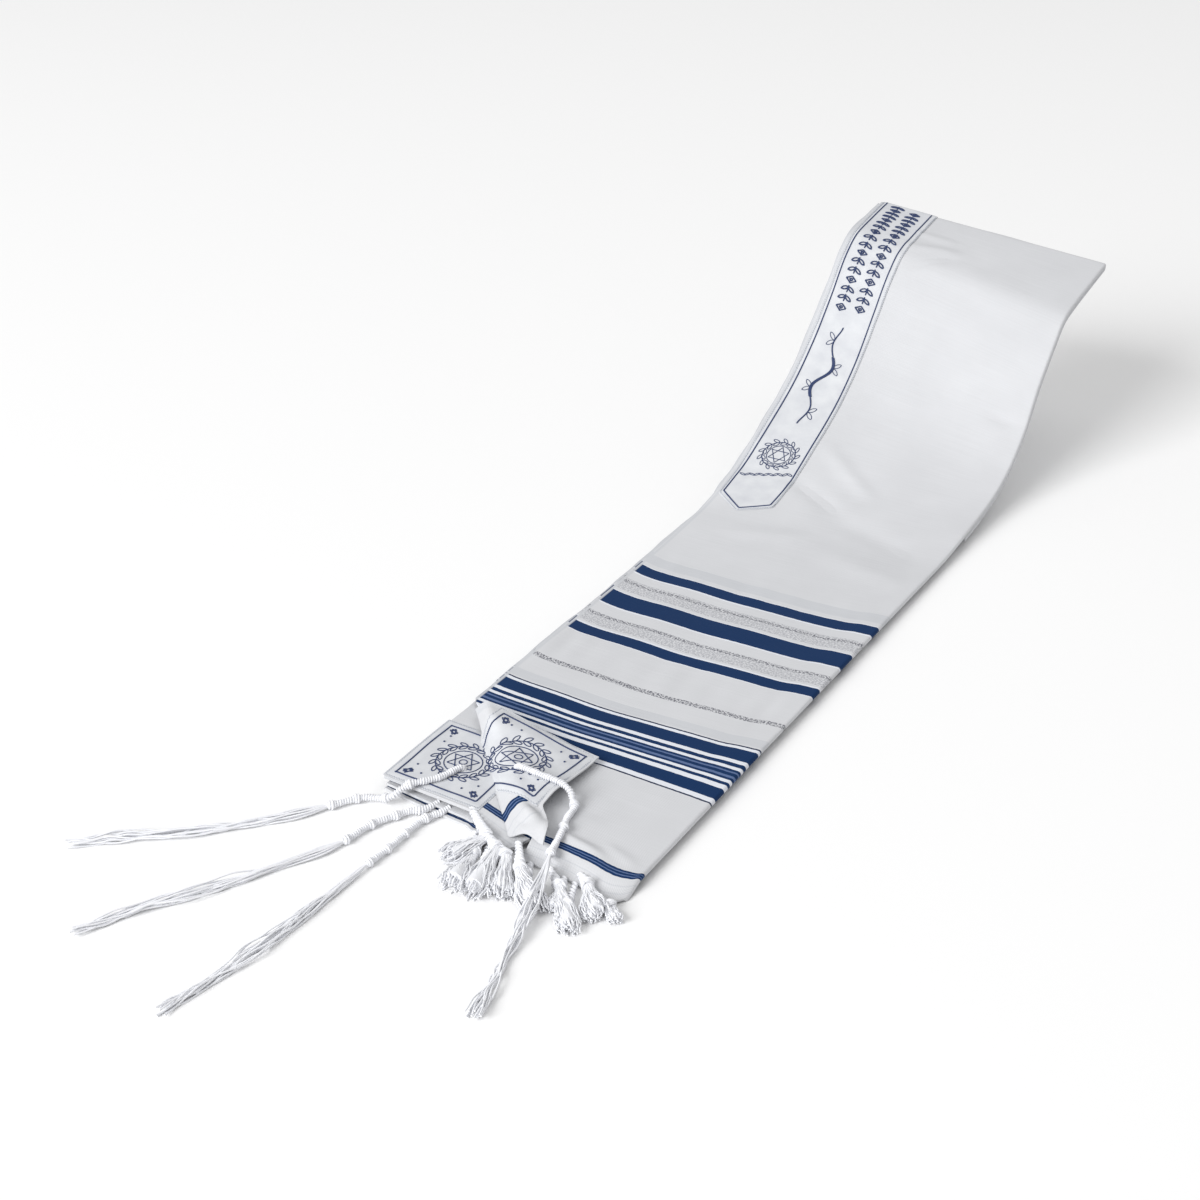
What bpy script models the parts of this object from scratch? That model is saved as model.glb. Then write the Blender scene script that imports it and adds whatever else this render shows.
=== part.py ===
"""A tallit, the fringed prayer shawl, folded in four layers and laid down.

The cloth is folded once lengthwise and once across, so all four corners and their tassels meet at the
near end. One corner of the upper two layers is turned over diagonally. The near part lies flat, and
the end with the cross fold rises in a slope to a short level stretch.

Lengths are in metres. "Across" runs from the selvedge side (0) to the lengthwise fold, "along" runs
from the lower edge of the end stripe towards the cross fold, and "up" is height above the table.
"""

import math
from collections import namedtuple

import bpy
import numpy as np

# Sizes of the cloth.
FOLDED_WIDTH = 0.230
CLOTH = 0.0014
DOUBLE_CLOTH = 0.0026
RIBBON = 0.0012
GAP = 0.0003
REST_CENTRE = 0.270
ACROSS_STEPS = 12
HEM = -0.018
HEM_TOP = 0.0034
TIGHT_FOLD = 0.0017

# Each line runs across the folded stack: where its underside lies at the selvedge side and at the
# fold side, and how thick the stack is at each.
Line = namedtuple("Line", "left_along left_up right_along right_up left_thick right_thick")
LINES = (
    Line(-0.040, 0.000, -0.040, 0.000, 0.0165, 0.0090),
    Line(0.060, 0.000, 0.060, 0.000, 0.0178, 0.0092),
    Line(0.200, 0.000, 0.200, 0.000, 0.0145, 0.0100),
    Line(0.430, 0.000, 0.430, 0.000, 0.0130, 0.0096),
    Line(0.520, 0.003, 0.540, 0.000, 0.0128, 0.0094),
    Line(0.590, 0.018, 0.622, 0.006, 0.0124, 0.0094),
    Line(0.637, 0.039, 0.669, 0.014, 0.0120, 0.0096),
    Line(0.697, 0.067, 0.710, 0.029, 0.0116, 0.0098),
    Line(0.744, 0.098, 0.750, 0.058, 0.0114, 0.0100),
    Line(0.791, 0.138, 0.780, 0.093, 0.0112, 0.0100),
    Line(0.823, 0.170, 0.812, 0.123, 0.0110, 0.0100),
    Line(0.840, 0.180, 0.834, 0.140, 0.0110, 0.0100),
    Line(0.864, 0.184, 0.858, 0.1455, 0.0108, 0.0098),
    Line(0.905, 0.189, 0.9366, 0.1575, 0.0104, 0.0096),
)

# How far each inner layer's selvedge stands out past the upper layer's, along the stack.
Selvedge = namedtuple("Selvedge", "along upper middle lower")
SELVEDGES = (
    Selvedge(0.000, 0.002, -0.002, 0.003),
    Selvedge(0.100, 0.001, 0.003, -0.003),
    Selvedge(0.160, 0.002, 0.005, 0.004),
    Selvedge(0.250, 0.004, 0.002, 0.006),
    Selvedge(0.350, 0.003, 0.006, 0.002),
    Selvedge(0.450, 0.005, 0.003, 0.006),
    Selvedge(0.550, 0.003, 0.006, 0.001),
    Selvedge(0.650, 0.002, 0.005, -0.005),
    Selvedge(0.800, 0.004, 0.002, -0.005),
    Selvedge(1.000, 0.003, 0.005, -0.005),
)

# The near edge of the inner layers: where the uppermost ends, and how far the lowest stands out.
NearEdge = namedtuple("NearEdge", "across along lower_out")
NEAR_EDGES = (
    NearEdge(-0.005, 0.014, 0.000),
    NearEdge(0.040, 0.013, 0.006),
    NearEdge(0.078, 0.012, 0.009),
    NearEdge(0.090, 0.002, 0.004),
    NearEdge(0.105, -0.008, 0.000),
    NearEdge(0.120, -0.014, 0.000),
    NearEdge(0.140, 0.010, 0.000),
    NearEdge(0.230, 0.010, 0.000),
)

# The hem of the upper layer, whose near corner is rounded.
Hem = namedtuple("Hem", "across along")
HEMS = (
    Hem(0.138, -0.014),
    Hem(0.160, -0.015),
    Hem(0.188, -0.019),
    Hem(0.214, -0.027),
    Hem(0.224, -0.024),
    Hem(0.230, -0.016),
)

# The layered edge of the stack, from its underside up: share of the height, which layer it belongs
# to (0 lowest, 1 middle, 2 upper), and how far it stands back from that layer's edge.
EdgeLevel = namedtuple("EdgeLevel", "height layer back")
EDGE_LEVELS = (
    EdgeLevel(0.00, 0, 0.0012),
    EdgeLevel(0.06, 0, 0.0),
    EdgeLevel(0.15, 0, 0.0),
    EdgeLevel(0.20, 0, 0.005),
    EdgeLevel(0.42, 1, 0.005),
    EdgeLevel(0.47, 1, 0.0),
    EdgeLevel(0.56, 1, 0.0),
    EdgeLevel(0.61, 1, 0.005),
    EdgeLevel(0.80, 2, 0.005),
    EdgeLevel(0.85, 2, 0.0),
    EdgeLevel(0.95, 2, 0.0),
    EdgeLevel(1.00, 2, 0.0012),
)

# The turned corner: its fold runs from the selvedge to a point at the near end. Its tip, and the ways
# its hem and its selvedge run from there, are seen from above.
FOLD_START = np.array([-0.002, 0.136])
FOLD_END = np.array([0.114, 0.008])
TURNED_TIP = np.array([0.139, 0.115])
TURNED_HEM_WAY = np.array([-0.03, -0.99])
TURNED_SELVEDGE_WAY = np.array([-1.04, 0.11])
TURNED_FOLD_AT = 0.1317
TURNED_FOLD_SLOPE = 0.986
TURNED_ROLL = 0.007
TURNED_RAMP = 0.018
TURNED_DROP = 0.0028
UNDER_FOLD = 0.020

# How far the turned corner stands above the cloth under it, by distance from its selvedge: over its
# rolled fold, and at its hem.
Rise = namedtuple("Rise", "across fold hem")
RISES = (
    Rise(-0.004, 0.0110, 0.0020),
    Rise(0.030, 0.0120, 0.0040),
    Rise(0.060, 0.0110, 0.0080),
    Rise(0.084, 0.0090, 0.0075),
    Rise(0.097, 0.0060, 0.0025),
    Rise(0.112, 0.0040, 0.0010),
)

# The patches and the neckband, in the cloth's own across and along.
PATCH_SIDES = (-0.003, 0.084, 0.0145, 0.106)
PATCH_ACROSSES = np.linspace(PATCH_SIDES[0], PATCH_SIDES[1], 13)
PATCH_ROWS = 11
PATCH_FROM_FOLD = 0.006
BAND_SIDES = (0.008, 0.060)
BAND_POINT = 0.556
BAND_SHOULDER = 0.585
BAND_UNDER_END = 0.680
UNDER_END = 0.590

# Past the first station the lowest layer starts to leave the table, and by the second it lies close
# under the others.
TABLE_END = 0.520
CLOSE_UNDER = 0.565

BLUE_WHITE = (0.82, 0.84, 0.88, 1.0)
WARM_WHITE = (0.86, 0.86, 0.85, 1.0)
THREAD_WHITE = (0.88, 0.88, 0.88, 1.0)


def smooth_curve(stations, values):
    """A curve through the values that never swings past them: a monotone cubic."""
    at = np.asarray(stations, float)
    value = np.asarray(values, float)
    step = np.diff(at)
    slope = np.diff(value) / step
    product = slope[:-1] * slope[1:]
    total = np.where(product > 0, slope[:-1] + slope[1:], 1.0)
    inner = np.where(product > 0, 2 * product / total, 0.0)
    tangent = np.concatenate([slope[:1], inner, slope[-1:]])

    def read(where):
        where = min(max(where, at[0]), at[-1])
        i = min(max(int(np.searchsorted(at, where, side="right")) - 1, 0), len(step) - 1)
        q = (where - at[i]) / step[i]
        return (
            (1 + 2 * q) * (1 - q) ** 2 * value[i]
            + q * (1 - q) ** 2 * step[i] * tangent[i]
            + q * q * (3 - 2 * q) * value[i + 1]
            + q * q * (q - 1) * step[i] * tangent[i + 1]
        )

    return read


def column_curve(table, station, column):
    return smooth_curve([getattr(row, station) for row in table], [getattr(row, column) for row in table])


def ease(amount):
    """0 to 1 with level ends."""
    q = min(max(amount, 0.0), 1.0)
    return q * q * (3 - 2 * q)


def mix(a, b, share):
    return a + (b - a) * share


def line_stations():
    """How far each line lies along the cloth: its mean distance from the line before it."""
    stations = [LINES[0].left_along]
    for before, line in zip(LINES, LINES[1:]):
        left = math.hypot(line.left_along - before.left_along, line.left_up - before.left_up)
        right = math.hypot(line.right_along - before.right_along, line.right_up - before.right_up)
        stations.append(stations[-1] + (left + right) / 2)
    return stations


STATIONS = line_stations()
CROSS_FOLD = STATIONS[-1]
PROFILE = {name: smooth_curve(STATIONS, [getattr(row, name) for row in LINES]) for name in Line._fields}
SELVEDGE_OUT = [column_curve(SELVEDGES, "along", name) for name in ("lower", "middle", "upper")]
NEAR_ALONG = column_curve(NEAR_EDGES, "across", "along")
NEAR_LOWER_OUT = column_curve(NEAR_EDGES, "across", "lower_out")
HEM_ALONG = column_curve(HEMS, "across", "along")
FOLD_RISE = column_curve(RISES, "across", "fold")
HEM_RISE = column_curve(RISES, "across", "hem")


def thickness(across, station):
    share = across / FOLDED_WIDTH
    return mix(PROFILE["left_thick"](station), PROFILE["right_thick"](station), share)


def underside(across, station):
    share = across / FOLDED_WIDTH
    along = mix(PROFILE["left_along"](station), PROFILE["right_along"](station), share)
    up = mix(PROFILE["left_up"](station), PROFILE["right_up"](station), share)
    return np.array([across, along, up])


def stack_frame(across, station):
    """A point of the stack's underside, with its rightward, forward and outward directions."""
    small = 0.001
    right = underside(across + small, station) - underside(across - small, station)
    forward = underside(across, station + small) - underside(across, station - small)
    out = np.cross(right, forward)
    out /= np.linalg.norm(out)
    right /= np.linalg.norm(right)
    return underside(across, station), right, np.cross(out, right), out


def hem_droop(along):
    """0 on the stack, 1 where the hem of the upper layer has sunk to the table."""
    return ease((0.004 - along) / 0.022)


def upper_top(across, along):
    """Height of the upper layer's face on the flat part."""
    full = thickness(across, along)
    return full - (full - HEM_TOP) * hem_droop(along)


def fold_distance(across, along):
    """Signed distance from the turned corner's fold, positive towards the corner of the cloth."""
    way = (FOLD_END - FOLD_START) / np.linalg.norm(FOLD_END - FOLD_START)
    from_start = np.array([across, along]) - FOLD_START
    share = from_start @ way / np.linalg.norm(FOLD_END - FOLD_START)
    return -(from_start @ np.array([-way[1], way[0]])), share


def inner_top(across, station):
    """Height of the inner layers above the stack's underside."""
    height = thickness(across, station) - CLOTH - GAP
    if station > 0.2:
        return height
    distance, _ = fold_distance(across, station)
    height -= TURNED_DROP * ease((0.028 + distance) / 0.016)
    apron = ease((across - 0.076) / 0.014) * (1 - ease((across - 0.128) / 0.012))
    return height - (height - 0.0035) * apron * ease((0.014 - station) / 0.026)


def table_drop(across, station):
    """How far the lowest layer lies under the stack's underside, to reach the table."""
    base, _, _, out = stack_frame(across, station)
    return base[2] / out[2] * (1 - ease((station - TABLE_END) / (CLOSE_UNDER - TABLE_END)))


def upper_left(station):
    """Where the upper layer starts: its selvedge, or just past the turned corner's fold."""
    slope = (FOLD_START[1] - FOLD_END[1]) / (FOLD_END[0] - FOLD_START[0])
    fold = FOLD_START[0] + (FOLD_START[1] - station) / slope
    share = (fold - FOLD_START[0]) / (FOLD_END[0] - FOLD_START[0])
    under = mix(0.004, UNDER_FOLD, ease(share / 0.2)) / 0.74
    return min(max(fold + under, 0.0), 0.138)


# Columns across the upper layer: a share of its level part, or an angle round the lengthwise fold.
Column = namedtuple("Column", "share angle")
# Rows along it: a station, and an angle round the cross fold.
Row = namedtuple("Row", "station angle")


def upper_point(column, row, depth):
    """A point of the upper layer, this deep under its face."""
    droop = hem_droop(row.station) if row.angle == 0 else 0.0
    full = thickness(FOLDED_WIDTH, row.station)
    radius = mix(full / 4, TIGHT_FOLD, droop)
    left = upper_left(row.station)
    across = mix(left, FOLDED_WIDTH - radius, column.share)
    across += (radius - depth) * math.sin(column.angle)
    half = thickness(across, row.station) / 2
    height = half - depth
    if column.angle > 0:
        height = half - radius + (radius - depth) * math.cos(column.angle)
    base, _, forward, out = stack_frame(across, row.station)
    way = math.cos(row.angle) * out + math.sin(row.angle) * forward
    point = base + half * out + height * way
    if row.angle == 0 and row.station < 0.03:
        share = ease((0.03 - row.station) / (0.03 - HEM))
        point[1] += (HEM_ALONG(across) - HEM) * share
        point[2] -= (2 * half - HEM_TOP) * droop
    return point


def grid_faces(rows, columns, start=0):
    """Quads over a grid whose points are numbered row by row, facing up where rows run forward."""
    faces = []
    for i in range(rows - 1):
        for j in range(columns - 1):
            a = start + i * columns + j
            faces.append((a, a + 1, a + columns + 1, a + columns))
    return faces


def wall_faces(rows, columns):
    """Faces of a closed wall: an outer grid, an inner grid and the rim between them."""
    count = rows * columns
    faces = grid_faces(rows, columns)
    faces += [tuple(reversed(face)) for face in grid_faces(rows, columns, count)]
    rim = [j for j in range(columns)]
    rim += [i * columns + columns - 1 for i in range(1, rows)]
    rim += [(rows - 1) * columns + j for j in range(columns - 2, -1, -1)]
    rim += [i * columns for i in range(rows - 2, 0, -1)]
    for a, b in zip(rim, rim[1:] + rim[:1]):
        faces.append((b, a, a + count, b + count))
    return faces


def finish_material(name, colour, roughness):
    material = bpy.data.materials.new(name)
    material.use_nodes = True
    shader = material.node_tree.nodes["Principled BSDF"]
    shader.inputs["Base Color"].default_value = colour
    shader.inputs["Roughness"].default_value = roughness
    return material


def add_piece(name, points, faces, material, parent):
    mesh = bpy.data.meshes.new(name)
    mesh.from_pydata([tuple(point) for point in points], [], faces)
    mesh.validate()
    mesh.shade_smooth()
    mesh.set_sharp_from_angle(angle=math.radians(50))
    mesh.materials.append(material)
    piece = bpy.data.objects.new(name, mesh)
    bpy.context.collection.objects.link(piece)
    piece.parent = parent
    return piece


def add_wall(name, rows, columns, outer, inner, material, parent):
    """A wall of cloth between two grids of points."""
    return add_piece(name, list(outer) + list(inner), wall_faces(rows, columns), material, parent)


def rows_between(*stretches):
    """Stations along the stack: each stretch is its end and how many steps lead to it."""
    stations = [stretches[0][0]]
    for end, steps in stretches[1:]:
        stations += list(np.linspace(stations[-1], end, steps + 1)[1:])
    return stations


# Where the pieces of the rising stretch have their points, so that they bend alike.
RISING = rows_between(
    (0.430, 0), (BAND_POINT, 3), (BAND_SHOULDER, 2), (0.594, 1), (0.700, 4), (0.960, 12), (CROSS_FOLD, 1)
)


def upper_rows():
    """Rows from the hem to the cross fold, round it, and back under the raised stretch."""
    ahead = rows_between((HEM, 0), (0.006, 3), (0.150, 8), (RISING[0], 4)) + RISING[1:]
    back = [s for s in reversed(RISING) if s > UNDER_END]
    turn = [Row(CROSS_FOLD, math.radians(angle)) for angle in (36, 72, 108, 144)]
    return [Row(s, 0.0) for s in ahead] + turn + [Row(s, math.pi) for s in back]


def build_upper_layer(material, parent):
    rows = upper_rows()
    columns = [Column(j / ACROSS_STEPS, 0.0) for j in range(ACROSS_STEPS + 1)]
    columns += [Column(1.0, math.radians(angle)) for angle in (40, 80, 115, 145)]
    outer = [upper_point(column, row, 0.0) for row in rows for column in columns]
    inner = [upper_point(column, row, CLOTH) for row in rows for column in columns]
    add_wall("upper_layer", len(rows), len(columns), outer, inner, material, parent)


def fold_side(level, full, raised):
    """The fold-side edge of the inner layers at a level: how far past the fold, and how high.

    The core of the upper fold fills its top levels. Under it lies the lower fold, rolled whole where
    the stack rests, and only a core like the upper one where the outer cloth comes back round it.
    """
    radius = full / 4
    core = radius - CLOTH - GAP
    groove = -radius - 0.001
    last = len(EDGE_LEVELS) - 1
    if level >= 8:
        angle = math.pi * (last - level) / (last - 8)
        return -radius + core * math.sin(angle), full - radius + core * math.cos(angle)
    if raised:
        if level <= 3:
            angle = math.pi * level / 3
            return -radius + core * math.sin(angle), radius - core * math.cos(angle)
        return groove, mix(radius + core, full - radius - core, (level - 3) / 5)
    if level <= 5:
        rolled = full / 4 - GAP
        angle = math.pi * (level / 5 - 0.5)
        return rolled * (math.cos(angle) - 1), rolled * (1 + math.sin(angle))
    return groove, mix(full / 2 - GAP, full - radius - core, (level - 6) / 2)


def inner_point(i, j, k, across_steps, stations):
    """A point on the skin of the inner layers, by its place across, along and up a lattice."""
    last_row, last_level = len(stations) - 1, len(EDGE_LEVELS) - 1
    level = EDGE_LEVELS[k]
    station = stations[j]
    raised = station > UNDER_END
    floor_gap = CLOTH + GAP if raised else 0.0
    full = thickness(FOLDED_WIDTH, station)
    right_edge = FOLDED_WIDTH - full / 4
    across = right_edge * i / across_steps
    if station < 0.07:
        near = NEAR_ALONG(across)
        station = mix(near, 0.07, (station - stations[0]) / (0.07 - stations[0]))
    height = mix(floor_gap, inner_top(across, station), level.height)
    if i == across_steps:
        beside, height = fold_side(k, full, raised)
        across = FOLDED_WIDTH + beside
        if station < 0.2:
            height = min(height, inner_top(right_edge, station))
    height -= table_drop(across, station) * (1 - level.height)
    base, right, forward, out = stack_frame(across, station)
    point = base + height * out
    if i == 0:
        back = level.back if 0 < k < last_level else 0.0012
        point -= (SELVEDGE_OUT[level.layer](station) - back) * right
    if j == 0:
        lower_out = NEAR_LOWER_OUT(across) * (1.0, 0.5, 0.0)[level.layer]
        point -= (lower_out - level.back) * forward
    if j == last_row:
        half = thickness(across, station) / 2
        bulge = math.sqrt(max((half - CLOTH - GAP) ** 2 - (height - half) ** 2, 0.0))
        point += bulge * ease((right_edge - across) / 0.020) * forward
    return point


def build_inner_layers(material, parent):
    """The three layers inside, as one rounded body: the skin of a lattice of points."""
    across_steps = ACROSS_STEPS
    stations = rows_between((0.014, 0), (0.150, 10), (RISING[0], 4)) + RISING[1:]
    along_steps, up_steps = len(stations) - 1, len(EDGE_LEVELS) - 1
    number, points = {}, []

    def vertex(i, j, k):
        if (i, j, k) not in number:
            number[i, j, k] = len(points)
            points.append(inner_point(i, j, k, across_steps, stations))
        return number[i, j, k]

    faces = []
    for i in range(across_steps):
        for j in range(along_steps):
            low = [vertex(i, j, 0), vertex(i + 1, j, 0), vertex(i + 1, j + 1, 0), vertex(i, j + 1, 0)]
            top = [vertex(a, b, up_steps) for a, b in ((i, j), (i + 1, j), (i + 1, j + 1), (i, j + 1))]
            faces += [tuple(reversed(low)), tuple(top)]
    for k in range(up_steps):
        for j in range(along_steps):
            left = [vertex(0, j, k), vertex(0, j, k + 1), vertex(0, j + 1, k + 1), vertex(0, j + 1, k)]
            right = [vertex(across_steps, a, b) for a, b in ((j, k), (j + 1, k), (j + 1, k + 1), (j, k + 1))]
            faces += [tuple(left), tuple(right)]
        for i in range(across_steps):
            near = [vertex(i, 0, k), vertex(i + 1, 0, k), vertex(i + 1, 0, k + 1), vertex(i, 0, k + 1)]
            far = [vertex(a, along_steps, b) for a, b in ((i, k), (i, k + 1), (i + 1, k + 1), (i + 1, k))]
            faces += [tuple(near), tuple(far)]
    add_piece("inner_layers", points, faces, material, parent)


def flat_corner(across, along, lift):
    """A point of the lower corner that still lies flat, this far above the inner layers."""
    return np.array([across, along, inner_top(across, along) + lift])


def turned_fold(across):
    """Where the turned corner's own cloth is folded, this far from its selvedge."""
    return TURNED_FOLD_AT - across * TURNED_FOLD_SLOPE


def turned_surface(across, along):
    """Where a point of the turned corner's underside comes to lie, by its place in the cloth."""
    away = max(turned_fold(across) - along, 0.0)
    reach = turned_fold(across) - NEAR_ALONG(across)
    rolled = along + TURNED_ROLL * (1 - math.exp(-away / TURNED_ROLL))
    from_tip = across - NEAR_EDGES[0].across
    place = TURNED_TIP + TURNED_HEM_WAY * from_tip + TURNED_SELVEDGE_WAY * (rolled - NEAR_EDGES[0].along)
    face = upper_top(place[0], place[1]) + GAP
    start = mix(face, inner_top(place[0], place[1]) + 2 * GAP, ease((across - 0.004) / 0.030))
    start = min(start, face)
    crumple = 0.0018 * ease((across - 0.084) / 0.012) * (1 + math.sin(across * 520 + along * 260))
    high = face + mix(FOLD_RISE(across), HEM_RISE(across), ease(away / reach)) + crumple
    return np.array([place[0], place[1], mix(start, high, ease(away / TURNED_RAMP))])


def turned_corner(across, along, lift):
    """A point this far above the turned corner's underside, square to it."""
    small = 0.0008
    base = turned_surface(across, along)
    one = turned_surface(across + small, along) - turned_surface(across - small, along)
    two = turned_surface(across, along + small) - turned_surface(across, along - small)
    out = -np.cross(one, two)
    out /= np.linalg.norm(out)
    return base + lift * out


def fold_along(across):
    """Where the turned corner's fold crosses this distance from the selvedge."""
    slope = (FOLD_START[1] - FOLD_END[1]) / (FOLD_END[0] - FOLD_START[0])
    return FOLD_START[1] - (across - FOLD_START[0]) * slope


def patch_end(across, fold):
    """Where a patch ends: at its own far side, or just short of the fold that crosses it."""
    return min(PATCH_SIDES[3], fold(across) - PATCH_FROM_FOLD)


def corner_rows(across, fold):
    """Along values over a corner, which take in a patch's rows."""
    near, reach = NEAR_ALONG(across), fold(across)
    first, last = PATCH_SIDES[2], patch_end(across, fold)
    if across > PATCH_SIDES[1]:
        first, last = mix(near, reach, 0.06), mix(near, reach, 0.86)
    return [near] + list(np.linspace(first, last, PATCH_ROWS)) + list(np.linspace(last, reach, 5)[1:])


def corner_grid(place, acrosses, rows, lift):
    return [place(across, along, lift) for across in acrosses for along in rows(across)]


def build_turned_corner(material, parent):
    beyond = np.linspace(0.090, 0.114, 5)
    acrosses = list(PATCH_ACROSSES) + list(beyond)

    def rows(across):
        return corner_rows(across, turned_fold)

    top = corner_grid(turned_corner, acrosses, rows, DOUBLE_CLOTH)
    under = corner_grid(turned_corner, acrosses, rows, 0.0)
    add_wall("turned_corner", len(acrosses), len(rows(0.0)), top, under, material, parent)


def build_patch(name, place, fold, base, facing_up, material, parent):
    """A square patch sewn on a corner, as far as the fold across it shows."""

    def rows(across):
        return np.linspace(PATCH_SIDES[2], patch_end(across, fold), PATCH_ROWS)

    top = corner_grid(place, PATCH_ACROSSES, rows, base + RIBBON)
    under = corner_grid(place, PATCH_ACROSSES, rows, base)
    if facing_up:
        top, under = under, top
    add_wall(name, len(PATCH_ACROSSES), PATCH_ROWS, top, under, material, parent)


def band_rows():
    ahead = [s for s in RISING if s >= BAND_POINT]
    back = [s for s in reversed(RISING) if s > BAND_UNDER_END]
    turn = [Row(CROSS_FOLD, math.radians(angle)) for angle in (36, 72, 108, 144)]
    return [Row(s, 0.0) for s in ahead] + turn + [Row(s, math.pi) for s in back]


def build_neckband(material, parent):
    """The ribbon at the neck, made from the upper layer's points moved out, with a blunt point."""
    rows = band_rows()
    left, right = BAND_SIDES
    middle, blunt = (left + right) / 2, 0.4
    outer, inner = [], []
    for row in rows:
        narrow = 1.0
        if row.angle == 0:
            narrow = mix(blunt, 1.0, min((row.station - BAND_POINT) / (BAND_SHOULDER - BAND_POINT), 1.0))
        for j in range(5):
            across = middle + (right - left) * (j / 4 - 0.5) * narrow
            share = across / (FOLDED_WIDTH - thickness(FOLDED_WIDTH, row.station) / 4)
            outer.append(upper_point(Column(share, 0.0), row, -GAP - RIBBON))
            inner.append(upper_point(Column(share, 0.0), row, -GAP))
    add_wall("neckband", len(rows), 5, outer, inner, material, parent)


def smooth_route(points, count):
    """Evenly spaced points on a smooth curve through these."""
    points = np.asarray(points, float)
    reach = np.concatenate([[0.0], np.cumsum(np.linalg.norm(np.diff(points, axis=0), axis=1))])
    curves = [smooth_curve(reach, points[:, axis]) for axis in range(3)]
    return np.array([[curve(s) for curve in curves] for s in np.linspace(0.0, reach[-1], count)]), reach[-1]


def route_frame(route, i):
    """Sideways and upward directions at a point of a route."""
    ahead = route[min(i + 1, len(route) - 1)] - route[max(i - 1, 0)]
    ahead /= np.linalg.norm(ahead)
    side = np.cross(ahead, (0.0, 0.0, 1.0))
    side /= np.linalg.norm(side)
    return side, np.cross(side, ahead)


def bundle_piece(name, head, radii, tails, spread, thread, material, parent):
    """A wound or knotted head of eight sides whose end parts into eight threads of three sides.

    head is its route, radii its radius at each point, tails the route of the loose threads, and
    spread gives how far they stand from that route, sideways and up, at each of its points.
    """
    sides = 8
    points, faces = [], []
    for i, radius in enumerate(radii):
        side, up = route_frame(head, i)
        for j in range(sides):
            angle = 2 * math.pi * j / sides
            points.append(head[i] + radius * (math.cos(angle) * side + math.sin(angle) * up))
        if i:
            low, high = (i - 1) * sides, i * sides
            for j in range(sides):
                k = (j + 1) % sides
                faces.append((low + k, low + j, high + j, high + k))
    faces.append(tuple(range(sides)))
    rim = (len(radii) - 1) * sides
    centre = len(points)
    points.append(head[-1].copy())
    for j in range(sides):
        k = (j + 1) % sides
        wedge = [centre, rim + j, rim + k]
        middle = sum(points[n] for n in wedge) / 3
        ring = []
        for n in wedge:
            ring.append(len(points))
            points.append(mix(middle, points[n], 0.6))
        for a, b in ((0, 1), (1, 2), (2, 0)):
            faces.append((wedge[b], wedge[a], ring[a], ring[b]))
        angle = 2 * math.pi * (j + 0.5) / sides
        for i in range(1, len(tails)):
            side, up = route_frame(tails, i)
            wide, high = spread[i]
            core = tails[i] + wide * math.cos(angle) * side + high * math.sin(angle) * up
            after = []
            for turn in (angle + math.pi, angle - 1.05, angle + 1.05):
                after.append(len(points))
                points.append(core + thread[i] * (math.cos(turn) * side + math.sin(turn) * up))
            for a, b in ((0, 1), (1, 2), (2, 0)):
                faces.append((ring[b], ring[a], after[a], after[b]))
            ring = after
        faces.append((ring[2], ring[1], ring[0]))
    add_piece(name, points, faces, material, parent)


# Each corner's tassel: its route over the cloth and the table, how much of it is wound, and the
# places of its double knots along the wound stretch.
TASSEL_RADIUS = 0.0021
KNOT_RADIUS = 0.0035
TZITZIT = {
    "tzitzit_1": (
        0.118,
        (0.42, 0.60, 0.80, 0.97),
        (
            (0.046, 0.053, 0.0163), (0.042, 0.042, 0.0162), (0.039, 0.031, 0.0162), (0.033, 0.021, 0.0168),
            (0.0265, 0.0125, 0.0165), (0.0205, 0.005, 0.0134), (0.0165, -0.0005, 0.009),
            (0.0085, -0.003, 0.0056), (-0.003, -0.006, 0.0042), (-0.022, -0.029, 0.0040),
            (-0.041, -0.054, 0.0034),
            (-0.071, -0.088, 0.0032), (-0.098, -0.113, 0.0032), (-0.127, -0.135, 0.0032),
            (-0.149, -0.155, 0.0032), (-0.163, -0.168, 0.0032),
        ),
    ),
    "tzitzit_2": (
        0.078,
        (0.20, 0.42, 0.66, 0.96),
        (
            (0.045, 0.0063, 0.0041), (0.041, 0.000, 0.0041), (0.034, -0.006, 0.0041), (0.029, -0.015, 0.0041),
            (0.019, -0.035, 0.0040), (0.014, -0.061, 0.0038), (-0.001, -0.095, 0.0034), (-0.019, -0.130, 0.0032),
            (-0.039, -0.163, 0.0032), (-0.059, -0.195, 0.0032), (-0.080, -0.234, 0.0032),
            (-0.087, -0.247, 0.0032),
        ),
    ),
    "tzitzit_3": (
        0.084,
        (0.24, 0.50, 0.74, 0.96),
        (
            (0.056, 0.0048, 0.0040), (0.052, -0.003, 0.0040), (0.049, -0.012, 0.0040), (0.048, -0.024, 0.0040),
            (0.048, -0.048, 0.0040), (0.046, -0.074, 0.0038), (0.044, -0.108, 0.0034), (0.040, -0.151, 0.0032),
            (0.037, -0.192, 0.0032), (0.031, -0.240, 0.0032), (0.024, -0.273, 0.0032), (0.021, -0.287, 0.0032),
        ),
    ),
    "tzitzit_4": (
        0.128,
        (0.50, 0.74, 0.97),
        (
            (0.089, 0.060, 0.0326), (0.099, 0.058, 0.0317), (0.109, 0.057, 0.0307), (0.119, 0.056, 0.0299),
            (0.130, 0.056, 0.0288), (0.136, 0.055, 0.0270), (0.141, 0.054, 0.0228), (0.1435, 0.052, 0.0184),
            (0.148, 0.047, 0.0159), (0.151, 0.031, 0.0157), (0.156, 0.016, 0.0154), (0.159, 0.0015, 0.0140),
            (0.161, -0.007, 0.0112), (0.164, -0.015, 0.0085), (0.171, -0.040, 0.0040),
            (0.181, -0.076, 0.0032), (0.192, -0.121, 0.0032), (0.203, -0.169, 0.0032),
            (0.207, -0.184, 0.0032),
        ),
    ),
}


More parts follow.
